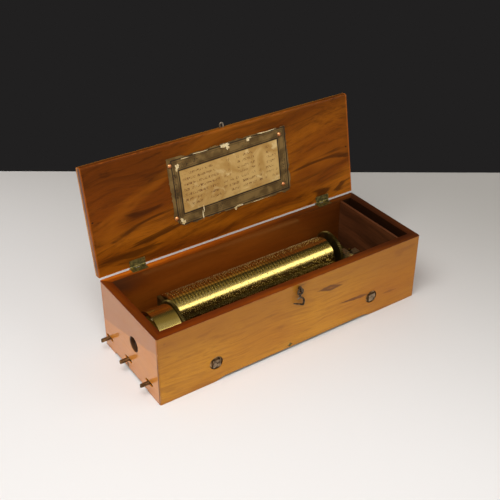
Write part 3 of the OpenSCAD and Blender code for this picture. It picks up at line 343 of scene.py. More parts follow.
def placed(tree, vector, location=(0, 0, 0), rotation=(0, 0, 0), scale=(1, 1, 1)):
    sockets = {"Vector": vector, "Location": location, "Rotation": rotation, "Scale": scale}
    return node(tree, "ShaderNodeMapping", sockets).outputs[0]


tree, given, result = effect(
    "wood figure", {"Vector": None, "Streak": 60.0, "Stretch": 0.12, "Wander": 0.02},
    ["Streaks", "Bands", "Fibres", "Pores"])
slow = node(tree, "ShaderNodeTexNoise", {"Vector": given["Vector"], "Scale": 9.0, "Detail": 1.0})
centred = vectors(tree, "SUBTRACT", slow.outputs["Color"], (0.5, 0.5, 0.5))
bent = node(tree, "ShaderNodeVectorMath", {0: centred, "Scale": given["Wander"]}, operation="SCALE")
moved = vectors(tree, "ADD", given["Vector"], bent.outputs[0])
grain_x, grain_y, grain_z = split(tree, moved)
along = times(tree, grain_x, given["Stretch"])
stretched = node(tree, "ShaderNodeCombineXYZ", {0: along, 1: grain_y, 2: grain_z}).outputs[0]
rings = mottle(tree, stretched, 22.0, 2.0)
short = placed(tree, moved, scale=(0.09, 1.0, 1.0))
for title, mask in {"Streaks": mottle(tree, stretched, given["Streak"], 4.0, 0.6),
                    "Bands": maths(tree, "PINGPONG", times(tree, rings, 7.0), 1.0),
                    "Fibres": mottle(tree, stretched, 900.0, 2.0),
                    "Pores": fade(tree, mottle(tree, short, 1500.0, 1.0), 0.66, 0.74)}.items():
    tree.links.new(mask, result[title])
wood_figure = tree
print("wood figure nodes", len(tree.nodes))

# %% [markdown]
# Hands, cloths and knocks reach a board's edges first. For a box-shaped board the distance to the nearest
# edge is the second smallest of the three distances to its faces, so wear can be placed with a few
# comparisons and needs no extra geometry.

# %% Edge distance group
tree, given, result = effect(
    "edge distance", {"Vector": None, "Middle": None, "Half Size": None}, ["Distance"])
offset = vectors(tree, "SUBTRACT", given["Vector"], given["Middle"])
size = vectors(tree, "ABSOLUTE", offset)
depth = vectors(tree, "SUBTRACT", given["Half Size"], size)
near_x, near_y, near_z = split(tree, depth)
pair_low = maths(tree, "MINIMUM", near_x, near_y)
pair_high = maths(tree, "MAXIMUM", near_x, near_y)
second = maths(tree, "MINIMUM", pair_high, maths(tree, "MAXIMUM", pair_low, near_z))
tree.links.new(second, result["Distance"])
edge_distance = tree
print("edge distance nodes", len(tree.nodes))

# %% [markdown]
# A knot or a shrinkage crack is a dark lens lying roughly along the grain. An ellipse with its rim frayed by
# noise gives that. It reads two coordinates only, so the same group works on any face of a board.

# %% Knot group
tree, given, result = effect(
    "knot", {"Across": 0.0, "Rise": 0.0, "Middle Across": 0.0, "Middle Rise": 0.0, "Half Length": 0.01,
             "Half Width": 0.002, "Tilt": 0.0}, ["Mask"])
FRAY = 0.5
dx = minus(tree, given["Across"], given["Middle Across"])
dz = minus(tree, given["Rise"], given["Middle Rise"])
cosine, sine = maths(tree, "COSINE", given["Tilt"]), maths(tree, "SINE", given["Tilt"])
run = maths(tree, "ADD", times(tree, dx, cosine), times(tree, dz, sine))
lift = minus(tree, times(tree, dz, cosine), times(tree, dx, sine))
run = maths(tree, "ABSOLUTE", maths(tree, "DIVIDE", run, given["Half Length"]))
lift = maths(tree, "ABSOLUTE", maths(tree, "DIVIDE", lift, given["Half Width"]))
spot = node(tree, "ShaderNodeCombineXYZ", {0: given["Across"], 1: given["Rise"]}).outputs[0]
cloud = mottle(tree, placed(tree, spot, scale=(0.3, 1, 1)), 700.0)
fray = times(tree, minus(tree, cloud, 0.5), FRAY)
reach = maths(tree, "ADD", maths(tree, "ADD", run, lift), fray)
tree.links.new(fade(tree, reach, 1.15, 0.7), result["Mask"])
knot = tree
print("knot nodes", len(tree.nodes))

# %% [markdown]
# Old metal is never one colour. Handled places stay bright, sheltered places turn brown, and dirt specks sit
# on top. Cloudy noise gives the tarnish, a very fine one the specks and a stretched one the scratches.

# %% Patina group
tree, given, result = effect(
    "patina", {"Vector": None, "Scale": 60.0, "Cover": 0.5}, ["Tarnish", "Specks", "Scratches"])
cloud = mottle(tree, given["Vector"], given["Scale"], 5.0, 0.4)
level = minus(tree, 1.0, given["Cover"])
swing = times(tree, minus(tree, cloud, level), 4.0)
tarnish = node(tree, "ShaderNodeClamp", {0: maths(tree, "ADD", swing, 0.5)}).outputs[0]
thin = placed(tree, given["Vector"], rotation=(0.3, 0.5, 0.4), scale=(1.0, 0.04, 1.0))
for title, mask in {"Tarnish": tarnish,
                    "Specks": fade(tree, mottle(tree, given["Vector"], 1400.0, 2.0), 0.66, 0.72),
                    "Scratches": fade(tree, mottle(tree, thin, 2200.0, 1.0), 0.6, 0.75)}.items():
    tree.links.new(mask, result[title])
patina = tree
print("patina nodes", len(tree.nodes))

# %% [markdown]
# Places on the box are read from the frame, so the finishes stay on their boards if a size changes. The lid
# is stored open: to lay a pattern on it, its coordinates are turned back about the hinge pins to the closed
# place, where its inner face is level and its front edge lies over the front board.

# %% Places and coordinates
case_low, case_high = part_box("front_board")[0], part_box("back_board")[1]
CASE_MIDDLE = (case_low + case_high) / 2
CASE_HALF = (case_high - case_low) / 2
RIM_Z = case_high.z
inner_low, inner_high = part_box("bottom_board")
INNER_LEFT, INNER_FRONT = inner_low.xy
INNER_RIGHT, INNER_BACK = inner_high.xy
hinge = next(joint for joint in frame["joints"] if joint["name"] == "lid_hinge")
PIN = Vector(hinge["pos_m"])
LID_TURN = math.radians(hinge["range_deg"][1])
CLOSE_LID = Matrix.Translation(PIN) @ Matrix.Rotation(LID_TURN, 4, "X") @ Matrix.Translation(-PIN)
OPEN_LID = CLOSE_LID.inverted()
LID_UNDER = RIM_Z + 0.2 * MM
LID_TOP = LID_UNDER + 9.0 * MM


def on_closed_lid(tree):
    """The place of a point of the lid, as if the lid were shut."""
    return placed(tree, here(tree), CLOSE_LID.translation, (LID_TURN, 0, 0))


def dress(names, material):
    """Gives CAD nodes a material without touching their meshes."""
    for name in names.split():
        piece = frame["nodes"][name]
        if not piece.material_slots:
            piece.data.materials.append(material)
        for slot in piece.material_slots:
            slot.material = material


print("case", [round(c, 4) for c in case_low], [round(c, 4) for c in case_high])
print("lid turn", round(LID_TURN, 3))

# %% [markdown]
# ## Fruitwood
# A board of fruitwood is honey brown, with soft darker bands, fine fibres and short pores, under a thin old
# polish. The colour is built in layers from the masks of the wood figure: first the broad bands, then the
# streaks, then the fine dark marks. The shader's own gloss comes last, with a thin coat for the polish.

# %% Wood colours and shader
FRONT_WOOD = shades((140, 80, 10), (180, 114, 16), (200, 136, 28))
END_WOOD = shades((168, 90, 14), (200, 116, 22), (210, 130, 32))
RIM_WOOD = shades((72, 20, 0), (118, 48, 0), (138, 66, 4))
LEFT_RIM_WOOD = shades((60, 20, 0), (92, 36, 0), (116, 50, 2))
# painted light: a lighter copy of the rim wood for the back board
BACK_RIM_PAINTED_LIGHT = shades((120, 46, 0), (176, 84, 6), (196, 104, 16))
INNER_WOOD = shades((72, 26, 0), (116, 52, 5), (132, 66, 12))
# painted shade: the front board's inner face is made nearly black, so that the cylinder mirrors it dark
FRONT_INNER_PAINTED_SHADE = shades((22, 8, 0), (34, 15, 2), (44, 21, 4))
RECESS_PAINTED_SHADE = colour(74, 46, 26)
GRIME = colour(48, 24, 10)
KNOT_BROWN = colour(74, 34, 14)
AMBER = (1.0, 0.7, 0.4, 1.0)
GRAIN_DEPTH = 0.04 * MM


def lay(tree, mask, amount, under, over):
    """As mix, but at most by amount."""
    return mix(tree, times(tree, mask, amount), under, over)


def relief(tree, height, distance, strength):
    sockets = {"Height": height, "Distance": distance, "Strength": strength}
    return node(tree, "ShaderNodeBump", sockets).outputs[0]


def wood_colour(tree, vector, dark, middle, light, streak=110.0, stretch=0.07, wander=0.02, contrast=1.0):
    """A wood colour and a height, from a vector whose x runs along the grain."""
    figure = use(tree, wood_figure, Vector=vector, Streak=streak, Stretch=stretch, Wander=wander)
    broad = fade(tree, mottle(tree, placed(tree, vector, scale=(0.22, 1, 1)), 13.0, 2.0, 0.8), 0.36, 0.64)
    tint = mix(tree, broad, middle, light)
    for mask, amount in ((fade(tree, figure["Streaks"], 0.44, 0.7), 0.55), (figure["Bands"], 0.12),
                         (fade(tree, figure["Fibres"], 0.38, 0.72), 0.3), (figure["Pores"], 0.4)):
        tint = lay(tree, mask, amount * contrast, tint, dark)
    return tint, minus(tree, times(tree, figure["Fibres"], 0.6), times(tree, figure["Pores"], 0.4))


def polish(tree, output, tint, height, rough=0.5, coat=0.0, coat_rough=0.1, gloss=0.3):
    """The polished surface: a gloss that varies over the board, fine grain in relief, and a clear coat."""
    dull = ramp(tree, mottle(tree, here(tree), 38.0, 3.0), 0.16, rough - 0.08)
    grain = relief(tree, height, GRAIN_DEPTH, 0.5)
    surface(tree, output, {"Base Color": tint, "Roughness": dull, "Normal": grain, "Coat Weight": coat,
                           "Coat Roughness": coat_rough, "Specular IOR Level": gloss, "Specular Tint": AMBER})


print("wood colours ready")

# %% [markdown]
# ## The four sides of the case
# Each side shows three woods in one: the pale outer face, faded by light, the dark polished rim, which kept
# its old stain, and the unpolished inner face, brown with age and oil. The outer face comes first. Its edges
# are worn pale and also carry a painted highlight, and dirt gathers along the foot and the edges and in the
# knots.

# %% Outer faces
WORN_EDGE_AND_HIGHLIGHT = colour(206, 150, 96)
EDGE_DIRT = (3.4 * MM, 1.8 * MM)
EDGE_WEAR_AND_HIGHLIGHT = (1.7 * MM, 1.3 * MM)
FOOT_DIRT = (7 * MM, 3 * MM)


def frayed(tree, value, vector, scale, spread):
    """The value with noise added, so that a step made from it has a ragged outline."""
    return ramp(tree, mottle(tree, vector, scale), spread, value)


def marked(tree, tint, marks, across, rise, stain, heart=None):
    """Knots, cracks and holes. One of negative strength is the pale heart of a knot."""
    for middle_across, middle_rise, half_length, half_width, tilt, strength in marks:
        mask = use(tree, knot, Across=across, Rise=rise, Middle_Across=middle_across * MM,
                   Middle_Rise=middle_rise * MM, Half_Length=half_length * MM, Half_Width=half_width * MM,
                   Tilt=tilt)["Mask"]
        tint = lay(tree, mask, abs(strength), tint, stain if strength > 0 else heart)
    return tint


def worn(tree, tint, place, z, dirt):
    """Dirt along a board's edges and foot, and the pale line where its edges are rubbed, which is also a
    painted highlight.
    """
    edge = use(tree, edge_distance, Vector=place, Middle=CASE_MIDDLE, Half_Size=CASE_HALF)["Distance"]
    edge = frayed(tree, edge, place, 260.0, 2.4 * MM)
    tint = lay(tree, fade(tree, edge, *EDGE_DIRT), 0.4, tint, dirt)
    # the pale edge line is wear and a painted highlight
    tint = lay(tree, fade(tree, edge, *EDGE_WEAR_AND_HIGHLIGHT), 0.5, tint, WORN_EDGE_AND_HIGHLIGHT)
    return lay(tree, fade(tree, frayed(tree, z, place, 90.0, 6 * MM), *FOOT_DIRT), 0.4, tint, dirt)


print("edges are rubbed over", EDGE_WEAR_AND_HIGHLIGHT[0] / MM, "mm")

# %% [markdown]
# Inside, painted shade makes the wood darker to the right and nearly black behind the partition, and soot has
# settled high up at the left. The rim is darker on its inner side, and painted shade darkens it towards the
# far right corner.

# %% Inner faces and rim
RIM_PAINTED_SHADE = colour(30, 12, 3)
INNER_PAINTED_SHADE = colour(22, 10, 4)
SOOT = colour(46, 34, 28)
PARTITION_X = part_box("key_partition")[1].x


def inner_face(tree, place, grain, x, z, woods):
    tint, _ = wood_colour(tree, grain, *woods, contrast=0.45)
    # painted shade: darker towards the right, and nearly black in the key compartment behind the partition
    tint = lay(tree, fade(tree, x, 10 * MM, 160 * MM), 0.5, tint, INNER_PAINTED_SHADE)
    tint = lay(tree, fade(tree, x, PARTITION_X - 1 * MM, PARTITION_X + 1 * MM), 0.92, tint, INNER_PAINTED_SHADE)
    left = fade(tree, x, INNER_LEFT + 55 * MM, INNER_LEFT + 5 * MM)
    high = fade(tree, frayed(tree, z, place, 45.0, 30 * MM), 78 * MM, 92 * MM)
    return lay(tree, times(tree, left, high), 0.6, tint, SOOT)


def rim_face(tree, place, grain, x, y, depth, woods):
    tint, _ = wood_colour(tree, grain, *woods, contrast=0.9)
    inwards = fade(tree, frayed(tree, depth, place, 70.0, 6 * MM), 6 * MM, 11 * MM)
    tint = lay(tree, inwards, 0.55, tint, RIM_WOOD[0])
    # painted shade: the rim darkens towards the far right corner
    return lay(tree, fade(tree, maths(tree, "ADD", x, y), -90 * MM, 190 * MM), 0.8, tint, RIM_PAINTED_SHADE)


print("key compartment from", round(PARTITION_X / MM, 1), "mm")

# %% [markdown]
# The three woods meet in one material for each board. Masks on the board's own coordinates choose between
# them, and painted shade darkens the walls of the scoops and holes, below where the outer face ends.

# %% Case boards
INNER_MARGIN = (0.5 * MM, 0.2 * MM)
RECESS_SHADE_RUN = (0.35 * MM, 0.9 * MM)
FRONT_TILT = math.radians(-2)


def case_board(name, along_y, inner, side, woods, marks=(), extra=None, contrast=0.6, streak=110.0,
               rim_woods=RIM_WOOD, inner_woods=INNER_WOOD, coat=0.5, **finish):
    """A board's material. side is -1 on the low side of the box and 1 on the high, inner its inner face."""
    made, tree, output = bare_material(name)
    place = here(tree)
    x, y, z = split(tree, place)
    across, through, half = (y, x, CASE_HALF.x) if along_y else (x, y, CASE_HALF.y)
    depth = minus(tree, half, through) if side > 0 else maths(tree, "ADD", through, half)
    grain = placed(tree, place, rotation=(0, 0, math.radians(90))) if along_y else place
    tilted = placed(tree, grain, rotation=(0, 0 if along_y else FRONT_TILT, 0))
    tint, height = wood_colour(tree, tilted, *woods, streak=streak, contrast=contrast)
    tint = marked(tree, tint, marks, across, z, KNOT_BROWN, woods[1])
    if extra:
        tint = extra(tree, tint, across, z)
    tint = worn(tree, tint, place, z, woods[0])
    # painted shade on the walls of the scoops and holes, deeper than the outer face
    tint = mix(tree, fade(tree, depth, *RECESS_SHADE_RUN), tint, RECESS_PAINTED_SHADE)
    on_inner = fade(tree, through, *(inner + side * margin for margin in INNER_MARGIN))
    tint = mix(tree, on_inner, tint, inner_face(tree, place, grain, x, z, inner_woods))
    on_rim = fade(tree, frayed(tree, z, place, 120.0, 0.8 * MM), RIM_Z - 0.1 * MM, RIM_Z + 0.2 * MM)
    tint = mix(tree, on_rim, tint, rim_face(tree, place, grain, x, y, depth, rim_woods))
    polish(tree, output, tint, height, coat=ramp(tree, on_rim, -0.7 * coat, coat), **finish)
    return made


print("boards ready")

# %% [markdown]
# The front has a big eye-shaped knot with a pale heart, cracks on its right and smaller flaws, and its grain
# runs slightly downhill. The back is of the same wood, with a redder rim that is painted lighter, as painted
# light.

# %% Front and back boards
FRONT_MARKS = [(45, 64.3, 21, 4.4, -0.12, 1), (45.5, 64.2, 6.5, 1.4, -0.12, -0.35),
               (82.4, 34, 26, 2.3, -0.08, 0.95), (92, 33.4, 13, 3, -0.08, 0.8),
               (139, 22.8, 12.5, 1.9, -0.05, 0.85), (-38, 59, 12, 2, -0.08, 0.3),
               (2, 84.5, 8, 1.6, 0, 0.5), (-171, 79, 2.2, 1.4, 0.4, 0.45),
               (-10.3, 6.75, 3.6, 3.6, 0, 0.8)]
FRONT_DEEP = colour(162, 92, 2)
FRONT_UPPER = colour(140, 88, 26)
FRONT_CLOUD = colour(112, 58, 16)


def front_fading(tree, tint, x, z):
    """The right end has kept more of its colour, and soft brown clouds lie in the wood."""
    tint = lay(tree, fade(tree, x, 20 * MM, 150 * MM), 0.6, tint, FRONT_DEEP)
    tint = lay(tree, fade(tree, z, 30 * MM, 80 * MM), 0.45, tint, FRONT_UPPER)
    spot = placed(tree, here(tree), rotation=(0, math.radians(-4), 0), scale=(0.28, 1, 1))
    return lay(tree, fade(tree, mottle(tree, spot, 95.0, 2.0), 0.6, 0.74), 0.35, tint, FRONT_CLOUD)


dress("front_board", case_board("front_wood", False, INNER_FRONT, -1, FRONT_WOOD, FRONT_MARKS, front_fading,
                                contrast=0.8, streak=260.0, coat=0.3, inner_woods=FRONT_INNER_PAINTED_SHADE))
dress("back_board", case_board("back_wood", False, INNER_BACK, 1, FRONT_WOOD, coat=0.3,
                               rim_woods=BACK_RIM_PAINTED_LIGHT))
print("front has", len(FRONT_MARKS), "knots and cracks")

# %% [markdown]
# The left end is the glossiest board. Its varnish mirrors the pale table, which veils the orange wood, and
# the levers: a thick, smooth clear coat gives both for nothing. Above a slanting line a soft shadow is
# painted on, and the mitre at the front corner has opened to a thin dark line.

# %% End boards
BAND_FOOT = 36.6 * MM
BAND_SLOPE = 0.239
PAINTED_SHADOW_BAND = colour(166, 96, 24)
MITRE_GAP = (1.2 * MM, 0.7 * MM)
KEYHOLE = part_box("winding_arbor")
KEYHOLE_RADIUS = 9.6 * MM
END_MARKS = [(8.3, 6.75, 3.4, 3.4, 0, 0.8)]


def left_end_fading(tree, tint, y, z):
    """The painted shadow band, the open mitre and the painted shade round the keyhole."""
    line = ramp(tree, minus(tree, CASE_HALF.y, y), BAND_SLOPE, BAND_FOOT)
    above = frayed(tree, minus(tree, z, line), here(tree), 60.0, 3.0 * MM)
    # painted shadow: a soft shadow above the slanting line
    tint = lay(tree, fade(tree, above, -0.5 * MM, 3.5 * MM), 0.8, tint, PAINTED_SHADOW_BAND)
    off = minus(tree, maths(tree, "ADD", y, CASE_HALF.y), MITRE_GAP[0])
    gap = fade(tree, maths(tree, "ABSOLUTE", off), MITRE_GAP[1], 0.5 * MITRE_GAP[1])
    tint = lay(tree, times(tree, gap, fade(tree, z, 82 * MM, 50 * MM)), 0.95, tint, GRIME)
    flat = node(tree, "ShaderNodeCombineXYZ", {1: y, 2: z}).outputs[0]
    middle = (KEYHOLE[0] + KEYHOLE[1]) / 2
    reach = node(tree, "ShaderNodeVectorMath", {0: flat, 1: (0, middle.y, middle.z)}, operation="DISTANCE")
    # painted shade round and in the keyhole
    keyhole_shade = fade(tree, reach.outputs["Value"], KEYHOLE_RADIUS, KEYHOLE_RADIUS - 0.6 * MM)
    return mix(tree, keyhole_shade, tint, RECESS_PAINTED_SHADE)


dress("left_end_board", case_board("left_end_wood", True, INNER_LEFT, -1, END_WOOD, END_MARKS,
                                   left_end_fading, contrast=0.5, rim_woods=LEFT_RIM_WOOD, coat=0.9,
                                   coat_rough=0.07))
dress("right_end_board", case_board("right_end_wood", True, INNER_RIGHT, 1, END_WOOD, contrast=0.5, coat=0.8))
# the band is a painted shadow
print("the dull band starts", BAND_FOOT / MM, "mm up at the back")

# %% [markdown]
# ## The lid
# The lid is cut from a livelier board, with dark streaks that run up across it at a slant. Its inside kept
# a deep, glossy, red-brown polish; its edges are rubbed to orange.

# %% Lid finish
LID_WOOD = shades((52, 20, 2), (108, 50, 4), (158, 88, 12))
EDGE_ORANGE = colour(186, 100, 34)
LID_SLANT = math.radians(6)
LID_SWEEP = math.radians(20)
LID_PINS = [(-176, 64.9, 1.6, 1.4, 0, 1), (174.8, 60.9, 1.6, 1.4, 0, 1)]
lid_finish, tree, output = bare_material("lid_wood")
place = on_closed_lid(tree)
x, y, z = split(tree, place)
slanted = placed(tree, place, rotation=(0, 0, LID_SLANT))
tint, height = wood_colour(tree, slanted, *LID_WOOD, streak=190.0, wander=0.03, contrast=0.8)
swept = placed(tree, place, rotation=(0, 0, LID_SWEEP))
gold = mottle(tree, placed(tree, swept, scale=(0.25, 1, 1)), 20.0, 3.0, 1.0)
tint = lay(tree, fade(tree, gold, 0.5, 0.7), 0.5, tint, LID_WOOD[2])
flame = mottle(tree, placed(tree, slanted, scale=(0.16, 1, 1)), 52.0, 5.0, 1.2)
tint = lay(tree, fade(tree, flame, 0.56, 0.65), 0.75, tint, LID_WOOD[0])
old_front = fade(tree, frayed(tree, y, swept, 14.0, 60 * MM), 20 * MM, -30 * MM)
tint = lay(tree, old_front, 0.35, tint, LID_WOOD[0])
outer, _ = wood_colour(tree, place, *FRONT_WOOD, contrast=0.9)
tint = mix(tree, fade(tree, z, LID_TOP - 4 * MM, LID_TOP - 2.6 * MM), tint, outer)
lid_middle = Vector((CASE_MIDDLE.x, CASE_MIDDLE.y, (LID_UNDER + LID_TOP) / 2))
lid_half = Vector((CASE_HALF.x, CASE_HALF.y, (LID_TOP - LID_UNDER) / 2))
edge = use(tree, edge_distance, Vector=place, Middle=lid_middle, Half_Size=lid_half)["Distance"]
rubbed = fade(tree, frayed(tree, edge, place, 200.0, 1.6 * MM), 2.2 * MM, 1.2 * MM)
tint = lay(tree, rubbed, 0.4, tint, EDGE_ORANGE)
tint = marked(tree, tint, LID_PINS, x, minus(tree, CASE_HALF.y, y), GRIME)
sides = fade(tree, z, LID_UNDER + 0.1 * MM, LID_UNDER + 0.8 * MM)
polish(tree, output, tint, height, rough=0.42, coat=ramp(tree, sides, 0.2, 0.03), gloss=0.12)
dress("lid_board", lid_finish)
print("lid wood slants", round(math.degrees(LID_SLANT)), "degrees")

# %% [markdown]
# ## Wood inside
# The bottom board and the partition were never polished. They are dark with dust and oil.

# %% Inner wood
inner_finish, tree, output = bare_material("inner_wood")
turned = placed(tree, here(tree), rotation=(0, 0, math.radians(90)))
tint, height = wood_colour(tree, turned, *shades((30, 12, 5), (62, 32, 16), (92, 50, 26)))
polish(tree, output, tint, height, rough=0.62, gloss=0.2)
dress("bottom_board key_partition", inner_finish)
print("inner wood ready")

# %% [markdown]
# ## Brass, steel and lead
# Metal gets its look from what it reflects, so the base colour stays plain and the patina group breaks up
# the gloss: tarnish makes it browner and rougher, scratches give fine bright lines.

# %% Metal shader
SPECK = colour(40, 30, 20)
SCRATCH_DEPTH = 0.003 * MM


def metal(name, bright, tarnished, cover, rough, rough_tarnished, scale=60.0, specks=0.3, scratch=0.2,
          lid=False, wear=None):
    made, tree, output = bare_material(name)
    place = on_closed_lid(tree) if lid else here(tree)
    old = use(tree, patina, Vector=place, Scale=scale, Cover=cover)
    tint = mix(tree, old["Tarnish"], colour(*bright), colour(*tarnished))
    tint = lay(tree, old["Specks"], specks, tint, SPECK)
    if wear:
        tint = wear(tree, place, tint)
    rough_here = ramp(tree, old["Tarnish"], rough_tarnished - rough, rough)
    rough_here = ramp(tree, old["Specks"], 0.5 * specks, rough_here)
    scored = relief(tree, old["Scratches"], SCRATCH_DEPTH, scratch)
    surface(tree, output, {"Base Color": tint, "Metallic": 1.0, "Roughness": rough_here, "Normal": scored})
    return made


print("metal shader ready")

# %% [markdown]
# The metals differ in how bright, how browned and how rough they are. Wheels that were lacquered are still
# yellow, the bedplate is dull and painted dark as shade, so that the cylinder mirrors it dark, and steel that
# hands touch is brown.

# %% Metal finishes
BRASS = (228, 198, 112)
OLD_BRASS = (168, 138, 72)
GREEN_BRASS = (120, 112, 72)
# Each: the pieces that wear it, then the arguments of metal after the name.
METALS = {
    "polished_brass": ("barrel_cap governor_first_wheel governor_worm_wheel fly_vanes",
                       BRASS, OLD_BRASS, 0.22, 0.2, 0.32, 60.0, 0.3, 0.1),
    "drum_brass": ("barrel_drum", BRASS, (208, 176, 92), 0.3, 0.2, 0.26, 30.0, 0.04, 0.02),
    "pale_brass": ("worm_bridge governor_cock", (206, 190, 144), (140, 122, 84), 0.4, 0.36, 0.5, 200.0),
    "aged_brass": ("right_bearing_post barrel_left_plate", OLD_BRASS, GREEN_BRASS, 0.55, 0.38, 0.55),
    # the bedplate's dark is painted shade, mirrored dark in the cylinder; the wheels and end caps are dull
    # brass
    "dull_brass_and_shade": ("bedplate left_bearing_plate cylinder_great_wheel cylinder_end_caps barrel_great_wheel",
                   (136, 116, 60), (84, 70, 36), 0.5, 0.36, 0.5),
    "shaded_brass": ("comb_base", (84, 64, 34), (50, 38, 22), 0.5, 0.45, 0.6),
    "hinge_brass": ("bottom_screws hinge_case_leaves hinge_lid_leaves hinge_case_screws hinge_lid_screws",
                    (178, 158, 92), (98, 92, 56), 0.55, 0.34, 0.6, 220.0),
    "steel": ("hinge_pins cylinder_arbor cylinder_pinion tune_snail ratchet_wheel ratchet_click "
              "governor_first_arbor governor_second_arbor endless_screw lever_studs",
              (196, 194, 190), (140, 126, 106), 0.35, 0.28, 0.42),
    "worn_steel": ("winding_arbor lid_staple", (176, 166, 148), (108, 94, 76), 0.5, 0.36, 0.5, 200.0),
    "comb_steel": ("comb", (92, 84, 74), (54, 46, 38), 0.5, 0.36, 0.5, 200.0),
    "washer_steel": ("bolt_washers", (196, 166, 126), (120, 92, 64), 0.45, 0.36, 0.55, 200.0),
    "dark_steel": ("comb_screws snail_stud mainspring click_screw click_spring plate_screws bridge_screw",
                   (150, 142, 126), (74, 62, 48), 0.55, 0.3, 0.5, 160.0),
    "hook_steel": ("hook_screw_eye catch_hook", (104, 88, 70), (60, 48, 38), 0.5, 0.42, 0.6, 260.0),
    "lever_bronze": ("", (156, 126, 86), (94, 72, 48), 0.5, 0.4, 0.56, 180.0),
    "tack_copper": ("tune_sheet_tacks",
                    (226, 150, 96), (158, 86, 44), 0.35, 0.32, 0.42, 300.0, 0.3, 0.2, True),
    "lead": ("comb_leads", (122, 122, 126), (84, 84, 88), 0.5, 0.5, 0.7)}

metals = {}
for name, (pieces, *values) in METALS.items():
    metals[name] = metal(name, *values)
    dress(pieces, metals[name])
print("metals", len(metals))

# %% [markdown]
# ## Softened edges
# No forged or filed edge is perfectly sharp: its small bevel is what catches the light. The square bolt heads
# and the levers are seen close up, so each is a copy of its solid, welded, with its sharp edges bevelled.

# %% New pieces
def new_piece(name, shape, body, material):
    """Makes an object of a bmesh, at the origin, which rides on a body."""
    made = bpy.data.objects.new(name, bpy.data.meshes.new(name))
    shape.to_mesh(made.data)
    shape.free()
    made.data.materials.append(material)
    bpy.context.scene.collection.objects.link(made)
    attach(made, body)
    return made


print("pieces can be made")

# %% [markdown]
# Files leave a bevel of about half a millimetre. Flat faces are joined first, so that only real edges get it.

# %% Bevelled bolts and levers
SHARP = math.radians(40)
FLAT = math.radians(1)
WELD = 0.001 * MM
FILED = 0.45 * MM


def softened(node_name, body, material):
    """Replaces a CAD node by a copy with bevelled edges; returns how many edges were sharp."""
    shape = bmesh.new()
    shape.from_mesh(frame["nodes"][node_name].data)
    bmesh.ops.remove_doubles(shape, verts=shape.verts, dist=WELD)
    bmesh.ops.dissolve_limit(shape, angle_limit=FLAT, verts=shape.verts, edges=shape.edges)
    sharp = [edge for edge in shape.edges if len(edge.link_faces) == 2 and edge.calc_face_angle() > SHARP]
    bmesh.ops.bevel(shape, geom=sharp, offset=FILED, segments=2, profile=0.5, material=-1, affect="EDGES",
                    clamp_overlap=True)
    made = new_piece("soft_" + node_name, shape, body, material)
    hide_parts(node_name)
    return len(sharp)


bolt_steel = metal("bolt_steel", (164, 144, 116), (82, 64, 46), 0.5, 0.34, 0.5, 300.0)
print("bolt edges", softened("bedplate_bolts", "case", bolt_steel))
for lever in ("stop_lever", "change_lever", "instant_stop_lever"):
    print(lever, "edges", softened(lever, lever, metals["lever_bronze"]))

# %% [markdown]
# ## The cylinder
# The tube is turned brass. Fine dark tracks run round it between the rows of pins, and the pins' shadows are
# painted on it as specks. The tracks are one and a half times as far apart as the comb's teeth: at the real
# pitch they are too fine to be seen.

# %% Cylinder tube
tube_low, tube_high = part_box("cylinder_tube")
comb_low, comb_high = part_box("comb")
COMB_TEETH = 78
TOOTH_GAP = 0.6 * MM
TOOTH_PITCH = (comb_high.x - comb_low.x + TOOTH_GAP) / COMB_TEETH
TRACK_PITCHES = 1.5
TUBE_RADIUS = (tube_high.z - tube_low.z) / 2
TUBE_AXIS = (tube_low + tube_high) / 2
TRACK_DIRT_AND_PIN_SHADOW = colour(54, 38, 12)


def pin_tracks(tree, place, tint):
    """Tracks, strongest over the top and to the left, and specks of painted pin shadow over the rest."""
    x, y, _ = split(tree, place)
    teeth = maths(tree, "DIVIDE", minus(tree, x, comb_low.x), TOOTH_PITCH)
    track = maths(tree, "PINGPONG", times(tree, teeth, 2 / TRACK_PITCHES), 1.0)
    forward = minus(tree, TUBE_AXIS.y, y)
    dirty = times(tree, fade(tree, forward, 13.5 * MM, 11.5 * MM), fade(tree, x, 95 * MM, 25 * MM))
    lines = times(tree, fade(tree, track, 0.2, 0.8), ramp(tree, dirty, 0.5, 0.06))
    tint = mix(tree, lines, tint, TRACK_DIRT_AND_PIN_SHADOW)
    # painted shadows of the pins, as dark dots
    pin_shadow_dots = fade(tree, mottle(tree, place, 700.0, 1.0), 0.6, 0.66)
    pin_shadow_dots = times(tree, pin_shadow_dots, ramp(tree, dirty, -0.65, 0.65))
    return mix(tree, pin_shadow_dots, tint, TRACK_DIRT_AND_PIN_SHADOW)


dress("cylinder_tube", metal("cylinder_brass", BRASS, (206, 176, 90), 0.2, 0.2, 0.24, specks=0.15,
                             scratch=0.02, wear=pin_tracks))
print("tooth pitch", round(TOOTH_PITCH / MM, 3), "mm; tube radius", round(TUBE_RADIUS / MM, 2), "mm")

# %% [markdown]
# The music is some thousands of steel pins, 0.4 mm thick and a little under one high. Each tooth of the comb
# has its own row, in which the tunes lie side by side. A row is a small bmesh of its own, because an operator
# looks at the whole mesh that it works on; the finished rows are then gathered in one. The tunes are made by
# a seeded dice, and a strip where they start and end stays empty.

# %% Cylinder pins
TUNES = 6
TUNE_STEP = 0.3 * MM
PINS_IN_A_TUNE = 12
BEATS = 32
BEAT_STEPS = (1, 1, 2, 3, 4)
BARE_STRIP = 0.06
PIN_REACH = 0.8 * MM
PIN_ROOT = 0.1 * MM
PIN_RADIUS = 0.2 * MM
PIN_TAPER = 0.8
PIN_SIDES = 4
dice = random.Random(1852)


